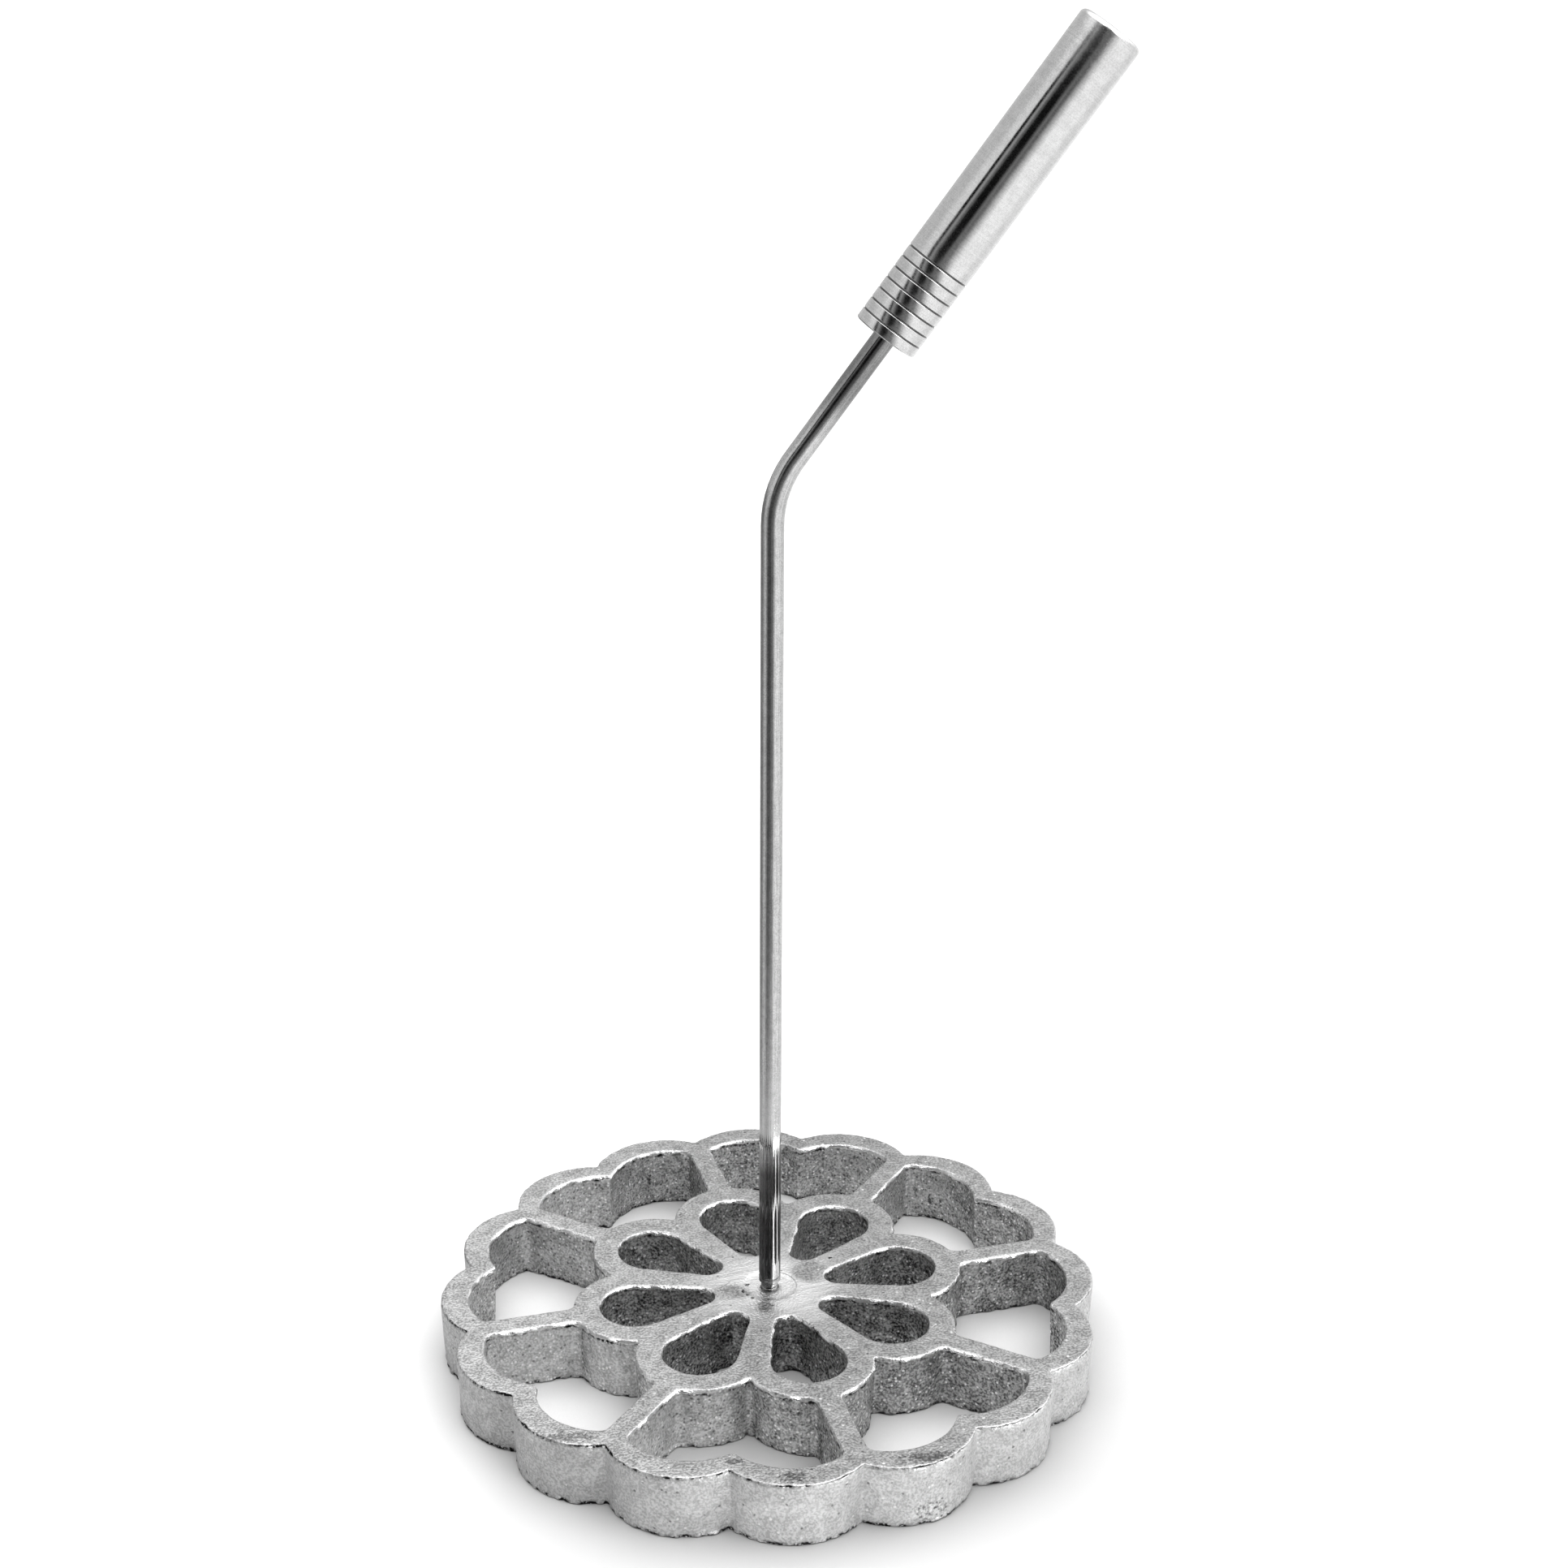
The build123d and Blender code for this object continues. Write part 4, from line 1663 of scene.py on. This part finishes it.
        # painted tone of the floor in the metal's reflections: darker towards the right and the left,
        # lighter inside the rim
        right = nodes.ease(side, 0.15, 0.8, 0.92, 0.76)
        side = nodes.math("MULTIPLY", right, nodes.ease(side, -0.75, 0.05, 0.62, 1.0))
        side = nodes.add("ShaderNodeMix", {0: beside, 2: 1.07, 3: side}).outputs[0]
        in_metal = nodes.math("MULTIPLY", side, self.floor_in_metal)
        shade = nodes.add("ShaderNodeMix", {0: glossy, 2: ring, 3: in_metal}).outputs[0]
        tone = nodes.math("MULTIPLY", tone, shade)
        white = nodes.add("ShaderNodeBsdfDiffuse", {"Color": tone})
        clear = nodes.add("ShaderNodeBsdfTransparent")
        share = nodes.math("MULTIPLY", nodes.math("SUBTRACT", 1.0, seen), glossy)
        shade = nodes.add(
            "ShaderNodeMixShader", {0: share, 1: white.outputs[0], 2: clear.outputs[0]}
        )
        nodes.add("ShaderNodeOutputMaterial", {"Surface": shade.outputs[0]})
        mesh.materials.append(material)
        floor = bpy.data.objects.new("floor", mesh)
        bpy.context.scene.collection.objects.link(floor)
        return floor

    def build_lamp(self) -> None:
        """Builds the soft lamp high in front, whose light the burrs catch."""
        light = bpy.data.lights.new("front_softbox", "AREA")
        light.shape = "RECTANGLE"
        light.size = 1.0
        light.size_y = 0.4
        light.energy = 2.4
        lamp = bpy.data.objects.new("front_softbox", light)
        lamp.location = (0.1, -0.6, 1.15)
        aim = Vector((0.0, 0.0, 0.02)) - lamp.location
        lamp.rotation_euler = aim.to_track_quat("-Z", "Y").to_euler()
        bpy.context.scene.collection.objects.link(lamp)

    def build_camera(self) -> None:
        """Builds the camera at the photograph's place and angle."""
        data = bpy.data.cameras.new("camera")
        data.lens = self.lens
        data.sensor_width = self.sensor
        data.clip_end = 100.0
        camera = bpy.data.objects.new("camera", data)
        turn = Matrix.Rotation(math.radians(self.camera_turn), 4, "Z")
        tilt = Matrix.Rotation(math.radians(self.camera_tilt), 4, "X")
        roll = Matrix.Rotation(math.radians(self.camera_roll), 4, "Z")
        place = Matrix.Translation(Vector(self.camera_place) * MM)
        camera.matrix_world = place @ turn @ tilt @ roll
        bpy.context.scene.collection.objects.link(camera)
        bpy.context.scene.camera = camera

    def build(self) -> None:
        """Builds the whole studio."""
        self.build_surroundings()
        self.build_floor()
        self.build_lamp()
        self.build_camera()
        bpy.context.scene.view_settings.view_transform = "Standard"


def dress(piece: bpy.types.Object, finish: bpy.types.Material, node: str, body: Body) -> None:
    """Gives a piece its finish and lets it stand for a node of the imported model.

    Args:
        piece: finished piece.
        finish: its material.
        node: name of the node that it stands for.
        body: body that it rides on.
    """
    piece.data.materials.append(finish)
    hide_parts(node)
    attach(piece, body.value)
    log.info("%s stands for %s and rides on %s", piece.name, node, body.value)


def main() -> None:
    """Builds the studio and the three pieces, and notes the sizes."""
    logging.basicConfig(level=logging.INFO, format="%(name)s: %(message)s")
    Studio().build()
    effects = Effects()
    dress(
        RosetteMould().build(),
        CastAluminium(effects).build(),
        "rosette_mould",
        Body.MOULD,
    )
    dress(BentRod().build(), DrawnSteel(effects).build(), "bent_rod", Body.ROD)
    handle = TurnedHandle()
    dress(
        handle.build(),
        TurnedAluminium(effects, handle).build(),
        "handle",
        Body.GRIP,
    )


if __name__ == "__main__":
    main()
